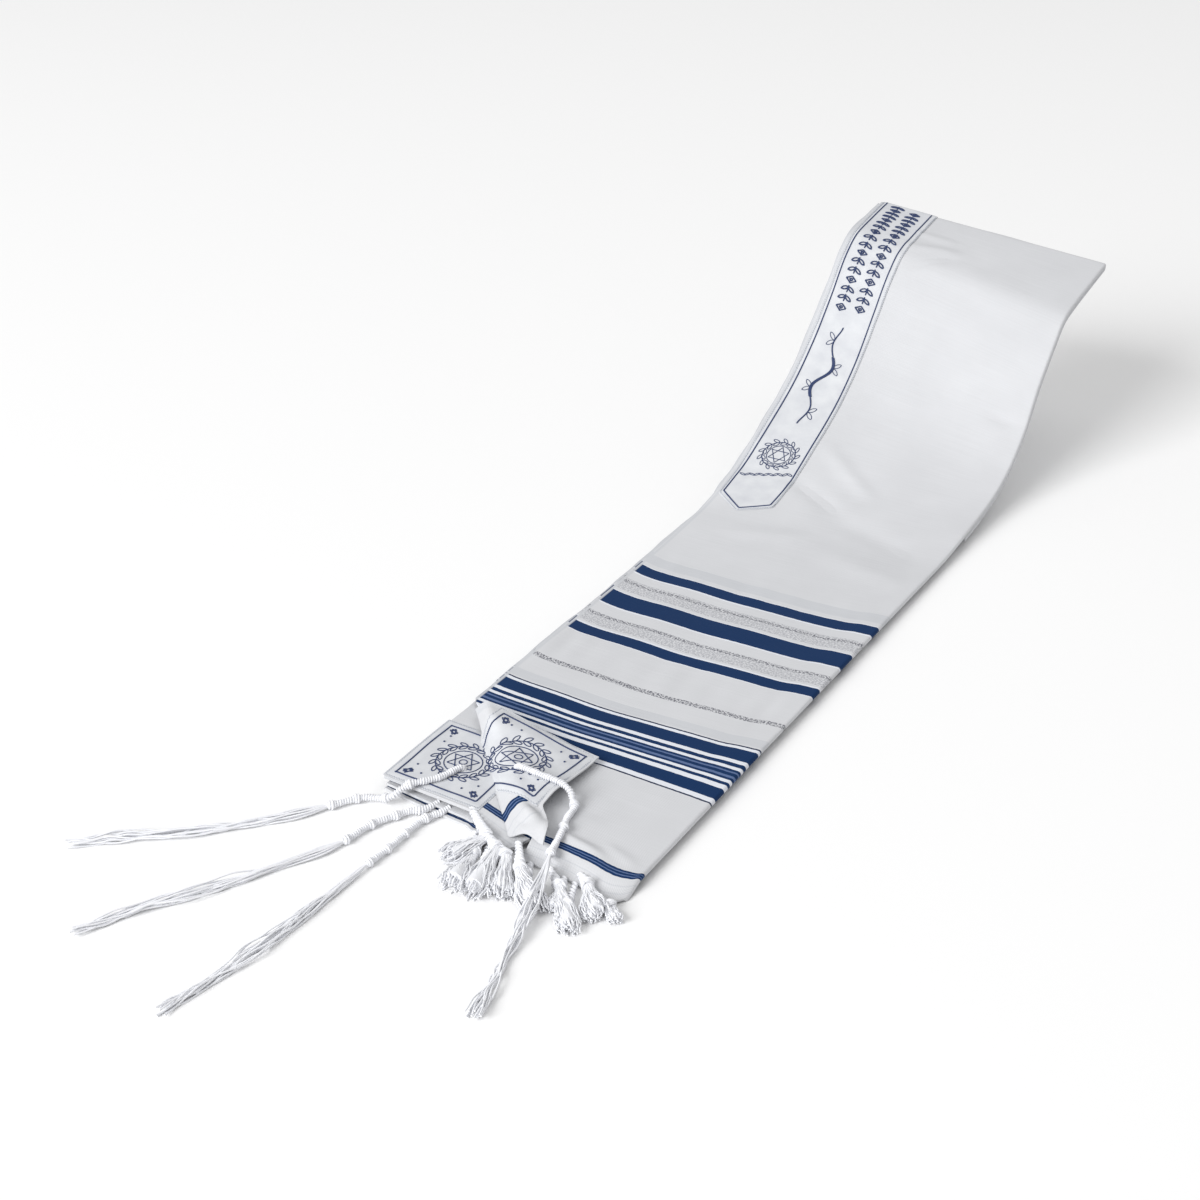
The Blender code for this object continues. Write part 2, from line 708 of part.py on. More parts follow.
def split_route(points, wound, head_count, tail_count):
    """A route's wound stretch and its loose rest, each evenly spaced."""
    whole, length = smooth_route(points, 400)
    cut = int(round(399 * wound / length))
    head = whole[np.round(np.linspace(0, cut, head_count)).astype(int)]
    tail = whole[np.round(np.linspace(cut, 399, tail_count)).astype(int)]
    return head, tail


def build_tzitzit(name, wound, knots, points, material, parent):
    head, tail = split_route(points, wound, 21, 9)
    radii = []
    for i in range(len(head)):
        share = i / (len(head) - 1)
        knot = max(math.exp(-((share - place) * wound / 0.0032) ** 2) for place in knots)
        radii.append(TASSEL_RADIUS + (KNOT_RADIUS - TASSEL_RADIUS) * knot)
    spread = []
    for i in range(len(tail)):
        share = i / (len(tail) - 1)
        wide = 0.0034 + 0.0016 * math.sin(9.0 * share + 7 * wound * 100)
        spread.append((wide, 0.0019))
    add = [0.00062] * len(tail)
    bundle_piece(name, head, radii, tail, spread, add, material, parent)


# The knotted fringe: where each tassel leaves the hem, its knot, its tip and how far it flares.
Fringe = namedtuple("Fringe", "root knot tip flare")
FRINGES = (
    Fringe((0.0918, -0.0023, 0.0025), (0.0969, -0.0191, 0.0039), (0.090, -0.038, 0.0036), 0.006),
    Fringe((0.1003, -0.0068, 0.0028), (0.1072, -0.0287, 0.0043), (0.114, -0.069, 0.0040), 0.010),
    Fringe((0.1075, -0.0107, 0.0026), (0.1213, -0.0324, 0.0040), (0.136, -0.060, 0.0036), 0.007),
    Fringe((0.1134, -0.0138, 0.0030), (0.1367, -0.0306, 0.0042), (0.154, -0.058, 0.0036), 0.006),
    Fringe((0.1481, -0.0152, 0.0030), (0.1541, -0.0326, 0.0044), (0.158, -0.044, 0.0038), 0.004),
    Fringe((0.1785, -0.0182, 0.0030), (0.1842, -0.0345, 0.0042), (0.191, -0.056, 0.0036), 0.006),
    Fringe((0.1885, -0.0202, 0.0030), (0.1992, -0.0488, 0.0044), (0.210, -0.071, 0.0040), 0.007),
    Fringe((0.2006, -0.0248, 0.0030), (0.2083, -0.0363, 0.0042), (0.221, -0.051, 0.0036), 0.006),
    Fringe((0.2154, -0.0279, 0.0030), (0.2257, -0.0325, 0.0040), (0.236, -0.044, 0.0034), 0.005),
)


def build_fringe(name, row, material, parent):
    head, _ = smooth_route((row.root, mix(np.array(row.root), np.array(row.knot), 0.5), row.knot), 7)
    radii = (0.0012, 0.0014, 0.0015, 0.0016, 0.0028, 0.0031, 0.0024)
    tail, _ = smooth_route((row.knot, mix(np.array(row.knot), np.array(row.tip), 0.5), row.tip), 4)
    spread = [(mix(0.0020, row.flare, q), mix(0.0018, 0.0016, q)) for q in (0.0, 0.33, 0.67, 1.0)]
    bundle_piece(name, head, radii, tail, spread, (0.0, 0.0010, 0.0010, 0.0007), material, parent)


def build():
    for item in list(bpy.data.objects):
        bpy.data.objects.remove(item, do_unlink=True)
    frame = bpy.data.objects.new("shawl_frame", None)
    frame.location = (-FOLDED_WIDTH / 2, -REST_CENTRE, 0.0)
    bpy.context.collection.objects.link(frame)

    woven = finish_material("woven_acrylic", BLUE_WHITE, 0.85)
    satin = finish_material("satin_ribbon", WARM_WHITE, 0.45)
    thread = finish_material("cotton_thread", THREAD_WHITE, 0.8)

    build_upper_layer(woven, frame)
    build_inner_layers(woven, frame)
    build_turned_corner(woven, frame)
    build_patch("patch_left", flat_corner, fold_along, GAP, True, satin, frame)
    build_patch("patch_right", turned_corner, turned_fold, DOUBLE_CLOTH + 3 * GAP, False, satin, frame)
    build_neckband(satin, frame)
    for name, (wound, knots, points) in TZITZIT.items():
        build_tzitzit(name, wound, knots, points, thread, frame)
    for number, row in enumerate(FRINGES, 1):
        build_fringe(f"fringe_{number}", row, thread, frame)


build()
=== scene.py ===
# %% [markdown]
# # A folded prayer shawl
#
# The shawl is one long woven cloth with blue stripes. It is folded once lengthwise and once across, so
# it lies in four layers, with its four corners and their tassels at the near end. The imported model
# gives every size and place, and this lesson dresses it: cloth, ribbon, embroidery, cords and fringe.
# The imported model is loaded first, because nothing in it may move.

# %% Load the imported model
import math
from collections import namedtuple

import bmesh
import bpy
import numpy as np
from mathutils import Matrix


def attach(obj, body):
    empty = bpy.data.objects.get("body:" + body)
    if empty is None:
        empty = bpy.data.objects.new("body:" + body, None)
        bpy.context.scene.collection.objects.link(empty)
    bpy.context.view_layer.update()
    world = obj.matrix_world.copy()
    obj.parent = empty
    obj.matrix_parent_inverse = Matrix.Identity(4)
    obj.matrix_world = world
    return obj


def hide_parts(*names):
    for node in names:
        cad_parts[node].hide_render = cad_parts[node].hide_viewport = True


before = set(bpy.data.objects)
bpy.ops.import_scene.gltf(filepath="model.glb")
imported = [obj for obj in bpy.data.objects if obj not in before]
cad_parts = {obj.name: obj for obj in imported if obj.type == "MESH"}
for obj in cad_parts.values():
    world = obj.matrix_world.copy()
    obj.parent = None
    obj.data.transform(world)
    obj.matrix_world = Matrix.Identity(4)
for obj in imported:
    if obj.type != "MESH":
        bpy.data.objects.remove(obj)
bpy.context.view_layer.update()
print("parts:", len(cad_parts))

# %% [markdown]
# ## Camera, floor and light
#
# All places in this lesson are in the strip's own frame: across from the open edges to the lengthwise
# fold, along from the tasselled end to the cross fold, and up. `ORIGIN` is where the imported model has
# its own origin. The camera looks down at 29 degrees, and stands 30 degrees to the right of the strip.

# %% Camera
ORIGIN = np.array([0.115, 0.270, 0.0])
CAMERA_TARGET = np.array([-0.0090, 0.3549, 0.0])
CAMERA_AWAY = 2.0415
CAMERA_DOWN = math.radians(29.19)
CAMERA_TURN = math.radians(30.19)
CAMERA_LENS = 69.66


def standing(right, up, back, place):
    """The matrix of a thing that stands at a place, with its own three directions."""
    matrix = np.eye(4)
    matrix[:3] = np.column_stack([right, up, back, place])
    return Matrix(matrix.tolist())


def make_camera():
    ahead = np.array([-math.sin(CAMERA_TURN), math.cos(CAMERA_TURN), 0.0]) * math.cos(CAMERA_DOWN)
    ahead[2] = -math.sin(CAMERA_DOWN)
    right = np.array([math.cos(CAMERA_TURN), math.sin(CAMERA_TURN), 0.0])
    up = np.cross(right, ahead)
    place = CAMERA_TARGET - CAMERA_AWAY * ahead - ORIGIN
    camera = bpy.data.objects.new("camera", bpy.data.cameras.new("camera"))
    camera.data.lens = CAMERA_LENS
    camera.data.sensor_width = 36.0
    camera.data.clip_end = 20.0
    camera.matrix_world = standing(right, up, -ahead, place)
    bpy.context.collection.objects.link(camera)
    bpy.context.scene.camera = camera
    return camera


camera = make_camera()
print("camera at", [round(v, 3) for v in camera.matrix_world.translation])

# %% [markdown]
# Colours are written the way a paint chart gives them, as hex values for the screen. Blender's shaders
# want linear light, so one function turns one into the other. `add` puts a node into a tree with its
# settings and its links, and every material and tree below is built with it. The short functions after
# it are the few nodes that come up again and again.

# %% Colours and nodes


def linear(chart):
    """A hex colour of the chart, as linear light."""
    channels = [int(chart[i:i + 2], 16) / 255 for i in (1, 3, 5)]
    return tuple(c / 12.92 if c <= 0.04045 else ((c + 0.055) / 1.055) ** 2.4 for c in channels) + (1.0,)


def add(tree, kind, inputs=None, **settings):
    """Add a node. Settings are its properties; an input is a value, or the socket to link it to."""
    made = tree.nodes.new(kind)
    for name, value in settings.items():
        setattr(made, name, value)
    for key, value in (inputs or {}).items():
        if isinstance(value, bpy.types.NodeSocket):
            tree.links.new(value, made.inputs[key])
        else:
            made.inputs[key].default_value = value
    return made


def maths(tree, operation, *values):
    """The result of a sum on numbers or sockets."""
    return add(tree, "ShaderNodeMath", dict(enumerate(values)), operation=operation).outputs[0]


def scaled(tree, vector, amount):
    return add(tree, "ShaderNodeVectorMath", {0: vector, 3: amount}, operation="SCALE").outputs[0]


def stretched(tree, vector, across, along):
    """A place measured in finer steps, to draw a noise out into streaks."""
    return add(tree, "ShaderNodeMapping", {0: vector, 3: (across, along, 1.0)}).outputs[0]


def noise(tree, vector, scale, detail):
    return add(tree, "ShaderNodeTexNoise", {"Vector": vector, "Scale": scale, "Detail": detail}).outputs[0]


def ranged(tree, value, low, high, from_low, from_high):
    """A value between low and high, turned into one between the other two."""
    return add(tree, "ShaderNodeMapRange", {0: value, 1: low, 2: high, 3: from_low, 4: from_high}).outputs[0]


def blended(tree, share, one, two):
    """One colour turned into another by this share."""
    return add(tree, "ShaderNodeMix", {0: share, 6: one, 7: two}, data_type="RGBA").outputs[2]


def give_relief(tree, shader, height, strength, distance):
    """Let the light see this height as a relief."""
    settings = {"Height": height, "Strength": strength, "Distance": distance}
    tree.links.new(add(tree, "ShaderNodeBump", settings).outputs[0], shader.inputs["Normal"])


def new_material(name, roughness, sheen=0.0, gloss=0.5):
    """A material with its shader, which the caller gives a colour and a relief."""
    material = bpy.data.materials.new(name)
    material.use_nodes = True
    shader = material.node_tree.nodes["Principled BSDF"]
    shader.inputs["Roughness"].default_value = roughness
    shader.inputs["Sheen Weight"].default_value = sheen
    shader.inputs["Specular IOR Level"].default_value = gloss
    shader.inputs["Sheen Roughness"].default_value = 0.5
    return material, material.node_tree, shader


# %% Floor and light
FLOOR_REACH = 4.0
WORLD_STRENGTH = 0.48


def make_floor():
    material, _, shader = new_material("painted_board", 0.9)
    shader.inputs["Base Color"].default_value = linear("#FBFBFB")
    mesh = bpy.data.meshes.new("floor")
    corners = [(x * FLOOR_REACH, y * FLOOR_REACH, 0) for x, y in ((-1, -1), (1, -1), (1, 1), (-1, 1))]
    mesh.from_pydata(corners, [], [(0, 1, 2, 3)])
    mesh.materials.append(material)
    floor = bpy.data.objects.new("floor", mesh)
    bpy.context.collection.objects.link(floor)


Lamp = namedtuple("Lamp", "name place aim size power")
LAMPS = (
    Lamp("key_light", (-3.0, -8.0, 5.2), (0.0, 0.1, 0.0), 5.4, 900.0),
    Lamp("top_light", (0.6, 2.0, 5.0), (0.0, 0.2, 0.0), 4.0, 45.0),
)


def make_lamps():
    for row in LAMPS:
        light = bpy.data.lights.new(row.name, "AREA")
        light.size = row.size
        light.energy = row.power
        lamp = bpy.data.objects.new(row.name, light)
        back = np.array(row.place, float) - np.array(row.aim, float)
        back /= np.linalg.norm(back)
        side = np.cross((0.0, 0.0, 1.0), back)
        side /= np.linalg.norm(side)
        lamp.matrix_world = standing(side, np.cross(back, side), back, row.place)
        bpy.context.collection.objects.link(lamp)
    world = bpy.data.worlds.new("studio")
    world.use_nodes = True
    background = world.node_tree.nodes["Background"]
    background.inputs["Color"].default_value = linear("#FFFFFF")
    background.inputs["Strength"].default_value = WORLD_STRENGTH
    bpy.context.scene.world = world


make_floor()
make_lamps()
bpy.context.scene.view_settings.view_transform = "Standard"
print("lamps:", len(LAMPS))

# %% [markdown]
# ## The folded stack as a surface
#
# A folded cloth is easiest to describe by what it was before: a flat sheet, with a place across it and
# a station along it. A few lines across the stack say where it lies and how thick it is, and smooth
# curves fill in between them. Every layer, the ribbon and the patches are then read from the same
# functions, so they follow each other at any fineness.

# %% Sizes and tables of the stack
WIDTH = 0.230
CLOTH = 0.0014
GAP = 0.0003
HEM = -0.018
HEM_TOP = 0.0034
TIGHT_FOLD = 0.0017
UNDER_END = 0.590

# Where the stack's underside lies at its left and right side, and how thick the stack is there.
Line = namedtuple("Line", "left_along left_up right_along right_up left_thick right_thick")
LINES = (
    Line(-0.040, 0.000, -0.040, 0.000, 0.0165, 0.0090),
    Line(0.060, 0.000, 0.060, 0.000, 0.0178, 0.0092),
    Line(0.200, 0.000, 0.200, 0.000, 0.0145, 0.0100),
    Line(0.430, 0.000, 0.430, 0.000, 0.0130, 0.0096),
    Line(0.520, 0.003, 0.540, 0.000, 0.0128, 0.0094),
    Line(0.590, 0.018, 0.622, 0.006, 0.0124, 0.0094),
    Line(0.637, 0.039, 0.669, 0.014, 0.0120, 0.0096),
    Line(0.697, 0.067, 0.710, 0.029, 0.0116, 0.0098),
    Line(0.744, 0.098, 0.750, 0.058, 0.0114, 0.0100),
    Line(0.791, 0.138, 0.780, 0.093, 0.0112, 0.0100),
    Line(0.823, 0.170, 0.812, 0.123, 0.0110, 0.0100),
    Line(0.840, 0.180, 0.834, 0.140, 0.0110, 0.0100),
    Line(0.864, 0.184, 0.858, 0.1455, 0.0108, 0.0098),
    Line(0.905, 0.189, 0.9366, 0.1575, 0.0104, 0.0096),
)

# How far the selvedge of each layer inside stands out beyond the upper layer's.
Selvedge = namedtuple("Selvedge", "along upper middle lower")
SELVEDGES = (
    Selvedge(0.000, 0.002, -0.002, 0.003),
    Selvedge(0.100, 0.001, 0.003, -0.003),
    Selvedge(0.160, 0.002, 0.005, 0.004),
    Selvedge(0.250, 0.004, 0.002, 0.006),
    Selvedge(0.350, 0.003, 0.006, 0.002),
    Selvedge(0.450, 0.005, 0.003, 0.006),
    Selvedge(0.550, 0.003, 0.006, 0.001),
    Selvedge(0.650, 0.002, 0.005, -0.005),
    Selvedge(0.800, 0.004, 0.002, -0.005),
    Selvedge(1.000, 0.003, 0.005, -0.005),
)

# The near edge of the layers inside, and how far the lowest one reaches out beyond it.
NearEdge = namedtuple("NearEdge", "across along lower_out")
NEAR_EDGES = (
    NearEdge(-0.005, 0.014, 0.000),
    NearEdge(0.040, 0.013, 0.006),
    NearEdge(0.078, 0.012, 0.009),
    NearEdge(0.090, 0.002, 0.004),
    NearEdge(0.105, -0.008, 0.000),
    NearEdge(0.120, -0.014, 0.000),
    NearEdge(0.140, 0.010, 0.000),
    NearEdge(0.230, 0.010, 0.000),
)

# The upper layer's own hem, to the right of the turned corner.
Hem = namedtuple("Hem", "across along")
HEMS = (
    Hem(0.138, -0.014),
    Hem(0.160, -0.015),
    Hem(0.188, -0.019),
    Hem(0.214, -0.027),
    Hem(0.224, -0.024),
    Hem(0.230, -0.016),
)

# %% Curves through the tables


def smooth_curve(at, value):
    """A curve through the values that never swings past them: a monotone cubic."""
    at, value = np.asarray(at, float), np.asarray(value, float)
    step = np.diff(at)
    slope = np.diff(value) / step
    product = slope[:-1] * slope[1:]
    total = np.where(product > 0, slope[:-1] + slope[1:], 1.0)
    tangent = np.concatenate([slope[:1], np.where(product > 0, 2 * product / total, 0.0), slope[-1:]])

    def read(where):
        where = np.clip(where, at[0], at[-1])
        i = np.clip(np.searchsorted(at, where, side="right") - 1, 0, len(step) - 1)
        q = (where - at[i]) / step[i]
        return (
            (1 + 2 * q) * (1 - q) ** 2 * value[i]
            + q * (1 - q) ** 2 * step[i] * tangent[i]
            + q * q * (3 - 2 * q) * value[i + 1]
            + q * q * (q - 1) * step[i] * tangent[i + 1]
        )

    return read


def table_curve(table, station, column):
    return smooth_curve([getattr(row, station) for row in table], [getattr(row, column) for row in table])


def ease(amount):
    """0 to 1 with level ends."""
    q = np.clip(amount, 0.0, 1.0)
    return q * q * (3 - 2 * q)


def mix(a, b, share):
    return a + (b - a) * share


def line_stations():
    stations = [LINES[0].left_along]
    for before, line in zip(LINES, LINES[1:]):
        left = math.hypot(line.left_along - before.left_along, line.left_up - before.left_up)
        right = math.hypot(line.right_along - before.right_along, line.right_up - before.right_up)
        stations.append(stations[-1] + (left + right) / 2)
    return stations


STATIONS = line_stations()
CROSS_FOLD = STATIONS[-1]
PROFILE = {name: smooth_curve(STATIONS, [getattr(row, name) for row in LINES]) for name in Line._fields}
SELVEDGE_OUT = [table_curve(SELVEDGES, "along", name) for name in ("lower", "middle", "upper")]
NEAR_ALONG = table_curve(NEAR_EDGES, "across", "along")
NEAR_LOWER_OUT = table_curve(NEAR_EDGES, "across", "lower_out")
HEM_ALONG = table_curve(HEMS, "across", "along")
print(f"the cloth's own length, half: {CROSS_FOLD - HEM:.3f} m")

# %% The stack's underside, its height and its directions


def thickness(across, station):
    return mix(PROFILE["left_thick"](station), PROFILE["right_thick"](station), across / WIDTH)


def underside(across, station):
    across, station = np.broadcast_arrays(np.asarray(across, float), np.asarray(station, float))
    share = across / WIDTH
    along = mix(PROFILE["left_along"](station), PROFILE["right_along"](station), share)
    up = mix(PROFILE["left_up"](station), PROFILE["right_up"](station), share)
    return np.stack([across, along, up], axis=-1)


def unit(vectors):
    return vectors / np.linalg.norm(vectors, axis=-1, keepdims=True)


def stack_frame(across, station):
    """Points of the stack's underside, with their rightward, forward and outward directions."""
    small = 0.001
    right = underside(across + small, station) - underside(across - small, station)
    forward = underside(across, station + small) - underside(across, station - small)
    out = unit(np.cross(right, forward))
    right = unit(right)
    return underside(across, station), right, np.cross(out, right), out


def times(amount, vectors):
    return np.asarray(amount)[..., None] * vectors


# %% [markdown]
# ## Making a wall of cloth
#
# A sheet of cloth is two grids of points, its face and its back, joined by a rim all round. The grids
# carry a UV map in metres of cloth, so a stripe that is 14 mm wide on the loom is 14 mm wide here and
# goes round every fold with the cloth.

# %% Grids into closed walls


SHARP_ANGLE = math.radians(60)


def add_walls(name, walls, material):
    """One object from one or more walls. A wall is its face grid, its back grid and its UV grid."""
    points, faces, uvs = [], [], []
    for face_grid, back_grid, uv_grid in walls:
        rows, columns = face_grid.shape[:2]
        start = sum(len(p) for p in points)
        count = rows * columns
        points += [face_grid.reshape(-1, 3), back_grid.reshape(-1, 3)]
        uvs += [uv_grid.reshape(-1, 2)] * 2
        i, j = np.meshgrid(np.arange(rows - 1), np.arange(columns - 1), indexing="ij")
        a = (start + i * columns + j).ravel()
        front = np.stack([a, a + 1, a + columns + 1, a + columns], axis=1)
        back = front[:, ::-1] + count
        rim = [start + k for k in range(columns)]
        rim += [start + k * columns + columns - 1 for k in range(1, rows)]
        rim += [start + (rows - 1) * columns + k for k in range(columns - 2, -1, -1)]
        rim += [start + k * columns for k in range(rows - 2, 0, -1)]
        rim = np.array(rim)
        after = np.roll(rim, -1)
        sides = np.stack([after, rim, rim + count, after + count], axis=1)
        faces += [front, back, sides]
    points = np.concatenate(points) - ORIGIN
    uvs, faces = np.concatenate(uvs), np.concatenate(faces)
    mesh = bpy.data.meshes.new(name)
    mesh.from_pydata(points.tolist(), [], faces.tolist())
    layer = mesh.uv_layers.new(name="cloth")
    layer.data.foreach_set("uv", uvs[faces.ravel()].ravel())
    mesh.shade_smooth()
    mesh.set_sharp_from_angle(angle=SHARP_ANGLE)
    mesh.materials.append(material)
    piece = bpy.data.objects.new(name, mesh)
    bpy.context.collection.objects.link(piece)
    print(f"{name}: {len(faces)} faces")
    return piece


def grid(first, second):
    return np.meshgrid(first, second, indexing="ij")


def half_turn(steps):
    """Angles round a fold, evenly spaced between its two flat sides."""
    return np.radians(np.linspace(0, 180, steps + 2)[1:-1])


def stretches(*ends):
    """Values from end to end: each later entry is where a stretch ends and how many steps lead to it."""
    values = [ends[0]]
    for end, steps in ends[1:]:
        values += list(np.linspace(values[-1], end, steps + 1)[1:])
    return np.array(values)


# %% [markdown]
# ## The woven cloth
#
# The cloth is a plain weave of fine acrylic, dull and slightly nappy, with stripes woven into it: navy
# bands in a close satin weave, and grey bands in an open, lace-like weave. The bands repeat the loom's
# order, so they are a table of stations along the cloth, in millimetres, read through colour ramps.

# %% Stripes of the loom
Band = namedtuple("Band", "start end yarn")
NEAR_BANDS = (
    Band(0.0, 2.3, "navy"), Band(2.3, 2.7, "slate"), Band(2.7, 4.7, "navy"), Band(4.7, 5.1, "slate"),
    Band(5.1, 7.2, "navy"), Band(-12.6, -11.8, "mist"), Band(-6.4, -5.6, "mist"),
    Band(109.3, 110.9, "ink"), Band(110.9, 115.8, "white"), Band(115.8, 130.2, "navy"),
    Band(130.2, 134.7, "white"), Band(134.7, 138.2, "navy"), Band(138.2, 142.0, "white"),
    Band(142.0, 145.0, "navy"), Band(145.0, 147.2, "slate"), Band(147.2, 150.3, "navy"),
    Band(150.3, 152.5, "slate"), Band(152.5, 154.9, "navy"), Band(154.9, 158.6, "white"),
    Band(158.6, 162.2, "navy"), Band(162.2, 166.8, "white"), Band(166.8, 181.4, "navy"),
    Band(181.4, 184.9, "white"), Band(184.9, 186.7, "ink"), Band(188.2, 200.0, "mist"),
)
FAR_BANDS = (
    Band(223.2, 228.6, "silver"), Band(277.2, 278.6, "white"), Band(278.6, 292.4, "navy"),
    Band(292.4, 294.2, "white"), Band(297.0, 311.0, "lace"), Band(311.0, 314.6, "silver"),
    Band(314.6, 316.0, "lace"), Band(330.6, 332.2, "white"), Band(332.2, 355.6, "navy"),
    Band(355.6, 357.2, "white"), Band(361.0, 373.2, "lace"), Band(373.2, 376.8, "silver"),
    Band(376.8, 380.0, "lace"), Band(392.2, 393.6, "white"), Band(393.6, 408.2, "navy"),
    Band(408.2, 409.8, "white"), Band(415.0, 430.0, "mist"),
)
YARNS = {
    "cloth": linear("#D3D4D7"), "navy": linear("#042D59"), "ink": linear("#2C3650"),
    "slate": linear("#5B6F97"), "silver": linear("#73747C"), "lace": linear("#B3B4B9"),
    "mist": linear("#CACCD0"), "white": linear("#E2E5EC"),
}
OPEN_YARNS = ("silver", "lace")
THREAD_PITCH = 0.0016
print("stripes:", len(NEAR_BANDS) + len(FAR_BANDS))


def band_ramp(tree, station, bands, low, high):
    """A colour ramp over a stretch of stations. Its alpha marks the open, lace-like bands."""
    ramp = add(tree, "ShaderNodeValToRGB", {0: ranged(tree, station, low, high, 0.0, 1.0)})
    ramp.color_ramp.interpolation = "CONSTANT"
    changes = {low * 1000: "cloth"}
    for band in bands:
        changes[band.start] = band.yarn
        changes.setdefault(band.end, "cloth")
    stops = ramp.color_ramp.elements
    for number, (at, yarn) in enumerate(sorted(changes.items())):
        share = (at / 1000 - low) / (high - low)
        stop = stops[number] if number < 2 else stops.new(share)
        stop.position = share
        stop.color = YARNS[yarn][:3] + (1.0 if yarn in OPEN_YARNS else 0.0,)
    return ramp


# %% Material: woven acrylic
# Acrylic yarn in a plain weave, brushed once: soft, dull, with a faint nap that catches light at the
# edges. The real threads are 0.35 mm apart, too fine for a picture, so they are drawn 1.6 mm apart.
# The stripes' edges waver by one real thread. One ramp can't hold all the stripes, so two share them.
WAVER = 0.0007
RAMP_START = -0.02
RAMP_BORDER = 0.2
RAMP_END = 0.45
SELVEDGE_START = 0.2268
SELVEDGE_FULL = 0.2280


def make_woven_acrylic():
    material, tree, shader = new_material("woven_acrylic_cloth", 0.86, 0.05, 0.15)
    cloth = add(tree, "ShaderNodeUVMap", uv_map="cloth").outputs[0]
    place = add(tree, "ShaderNodeSeparateXYZ", {0: cloth})
    across = place.outputs[0]
    along = place.outputs[1]
    station = maths(tree, "MULTIPLY_ADD", noise(tree, cloth, 260.0, 1.0), WAVER, along)
    station = maths(tree, "SUBTRACT", station, WAVER / 2)
    near = band_ramp(tree, station, NEAR_BANDS, RAMP_START, RAMP_BORDER)
    far = band_ramp(tree, station, FAR_BANDS, RAMP_BORDER, RAMP_END)
    is_far = maths(tree, "GREATER_THAN", station, RAMP_BORDER)
    colour = blended(tree, is_far, near.outputs[0], far.outputs[0])
    opening = add(tree, "ShaderNodeMix", {0: is_far, 2: near.outputs[1], 3: far.outputs[1]}).outputs[0]
    sparkle = noise(tree, stretched(tree, cloth, 560.0, 760.0), 1.0, 1.0)
    sparkle = ranged(tree, sparkle, 0.46, 0.56, 0.0, 1.0)
    colour = blended(tree, maths(tree, "MULTIPLY", sparkle, opening), colour, YARNS["cloth"])
    inset = maths(tree, "ABSOLUTE", maths(tree, "SUBTRACT", across, WIDTH))
    selvedge = ranged(tree, inset, SELVEDGE_START, SELVEDGE_FULL, 0.0, 0.9)
    colour = blended(tree, selvedge, colour, YARNS["mist"])
    streak = noise(tree, stretched(tree, cloth, 14.0, 900.0), 1.0, 2.0)
    cloud = noise(tree, cloth, 22.0, 2.0)
    tone = ranged(tree, maths(tree, "ADD", streak, cloud), 0.6, 1.4, 0.95, 1.03)
    tree.links.new(scaled(tree, colour, tone), shader.inputs["Base Color"])
    turns = 2 * math.pi / THREAD_PITCH
    weft = maths(tree, "SINE", maths(tree, "MULTIPLY", across, turns))
    warp = maths(tree, "SINE", maths(tree, "MULTIPLY", along, turns))
    weave = maths(tree, "MULTIPLY", weft, warp)
    give_relief(tree, shader, maths(tree, "MULTIPLY_ADD", streak, 1.5, weave), 0.22, 0.0003)
    return material


woven_acrylic = make_woven_acrylic()
print("material:", woven_acrylic.name)

# %% [markdown]
# ## The upper layer
#
# The upper layer shows from end to end. It starts at the open edges, or at the turned corner's fold,
# rolls over the lengthwise fold on the right and over the cross fold at the far end, and comes back
# under the raised stretch. Cloth never lies quite flat, so its face is moved in and out by long shallow
# waves and by a few creases that are listed in a table.

# %% Waves and creases
Crease = namedtuple("Crease", "across along heading length width height")
CREASES = (
    Crease(0.168, 0.014, -6, 0.050, 0.0045, 0.0028),
    Crease(0.205, 0.019, -16, 0.030, 0.0040, 0.0010),
    Crease(0.150, 0.030, 40, 0.050, 0.0080, 0.0012),
    Crease(0.085, 0.600, -30, 0.070, 0.0080, -0.0022),
    Crease(0.100, 0.640, -38, 0.080, 0.0070, 0.0020),
    Crease(0.150, 0.560, -20, 0.120, 0.0120, -0.0014),
    Crease(0.180, 0.500, -12, 0.120, 0.0140, 0.0012),
    Crease(0.070, 0.520, 18, 0.080, 0.0110, 0.0012),
    Crease(0.212, 0.765, 10, 0.040, 0.0050, -0.0022),
    Crease(0.078, 0.905, 22, 0.050, 0.0050, 0.0022),
    Crease(0.086, 0.890, 38, 0.045, 0.0045, -0.0018),
    Crease(0.074, 0.928, 6, 0.040, 0.0040, 0.0014),
)
Wave = namedtuple("Wave", "across along turn height")
WAVES = (
    Wave(31.0, 9.0, 0.4, 0.00035), Wave(-18.0, 26.0, 1.9, 0.00030), Wave(47.0, -14.0, 2.7, 0.00022),
    Wave(12.0, 41.0, 5.1, 0.00022), Wave(83.0, 22.0, 0.9, 0.00014), Wave(-62.0, 71.0, 3.3, 0.00010),
)


# The stripes are woven tighter than the plain cloth, so it puckers between them and they bow a little.
Pucker = namedtuple("Pucker", "along width share")
PUCKERS = (Pucker(0.252, 0.026, 1.0), Pucker(0.420, 0.020, 0.5))
PUCKER_HEIGHT = 0.00055
Bow = namedtuple("Bow", "across along")
BOWS = (
    Bow(0.000, 0.0012), Bow(0.012, -0.0013), Bow(0.030, -0.0026), Bow(0.060, -0.0020), Bow(0.100, -0.0033),
    Bow(0.140, -0.0013), Bow(0.170, 0.0003), Bow(0.200, 0.0025), Bow(0.215, 0.0066), Bow(0.230, 0.0088),
)
BOW = table_curve(BOWS, "across", "along")


def pucker(across, along):
    """Soft lengthwise ridges between the stripes."""
    where = sum(row.share * np.exp(-((along - row.along) / row.width) ** 4) for row in PUCKERS)
    wave = np.sin(across * 236 + 1.6 * np.sin(across * 31)) * (0.6 + 0.4 * np.sin(across * 57 + 1.2))
    return PUCKER_HEIGHT * where * wave


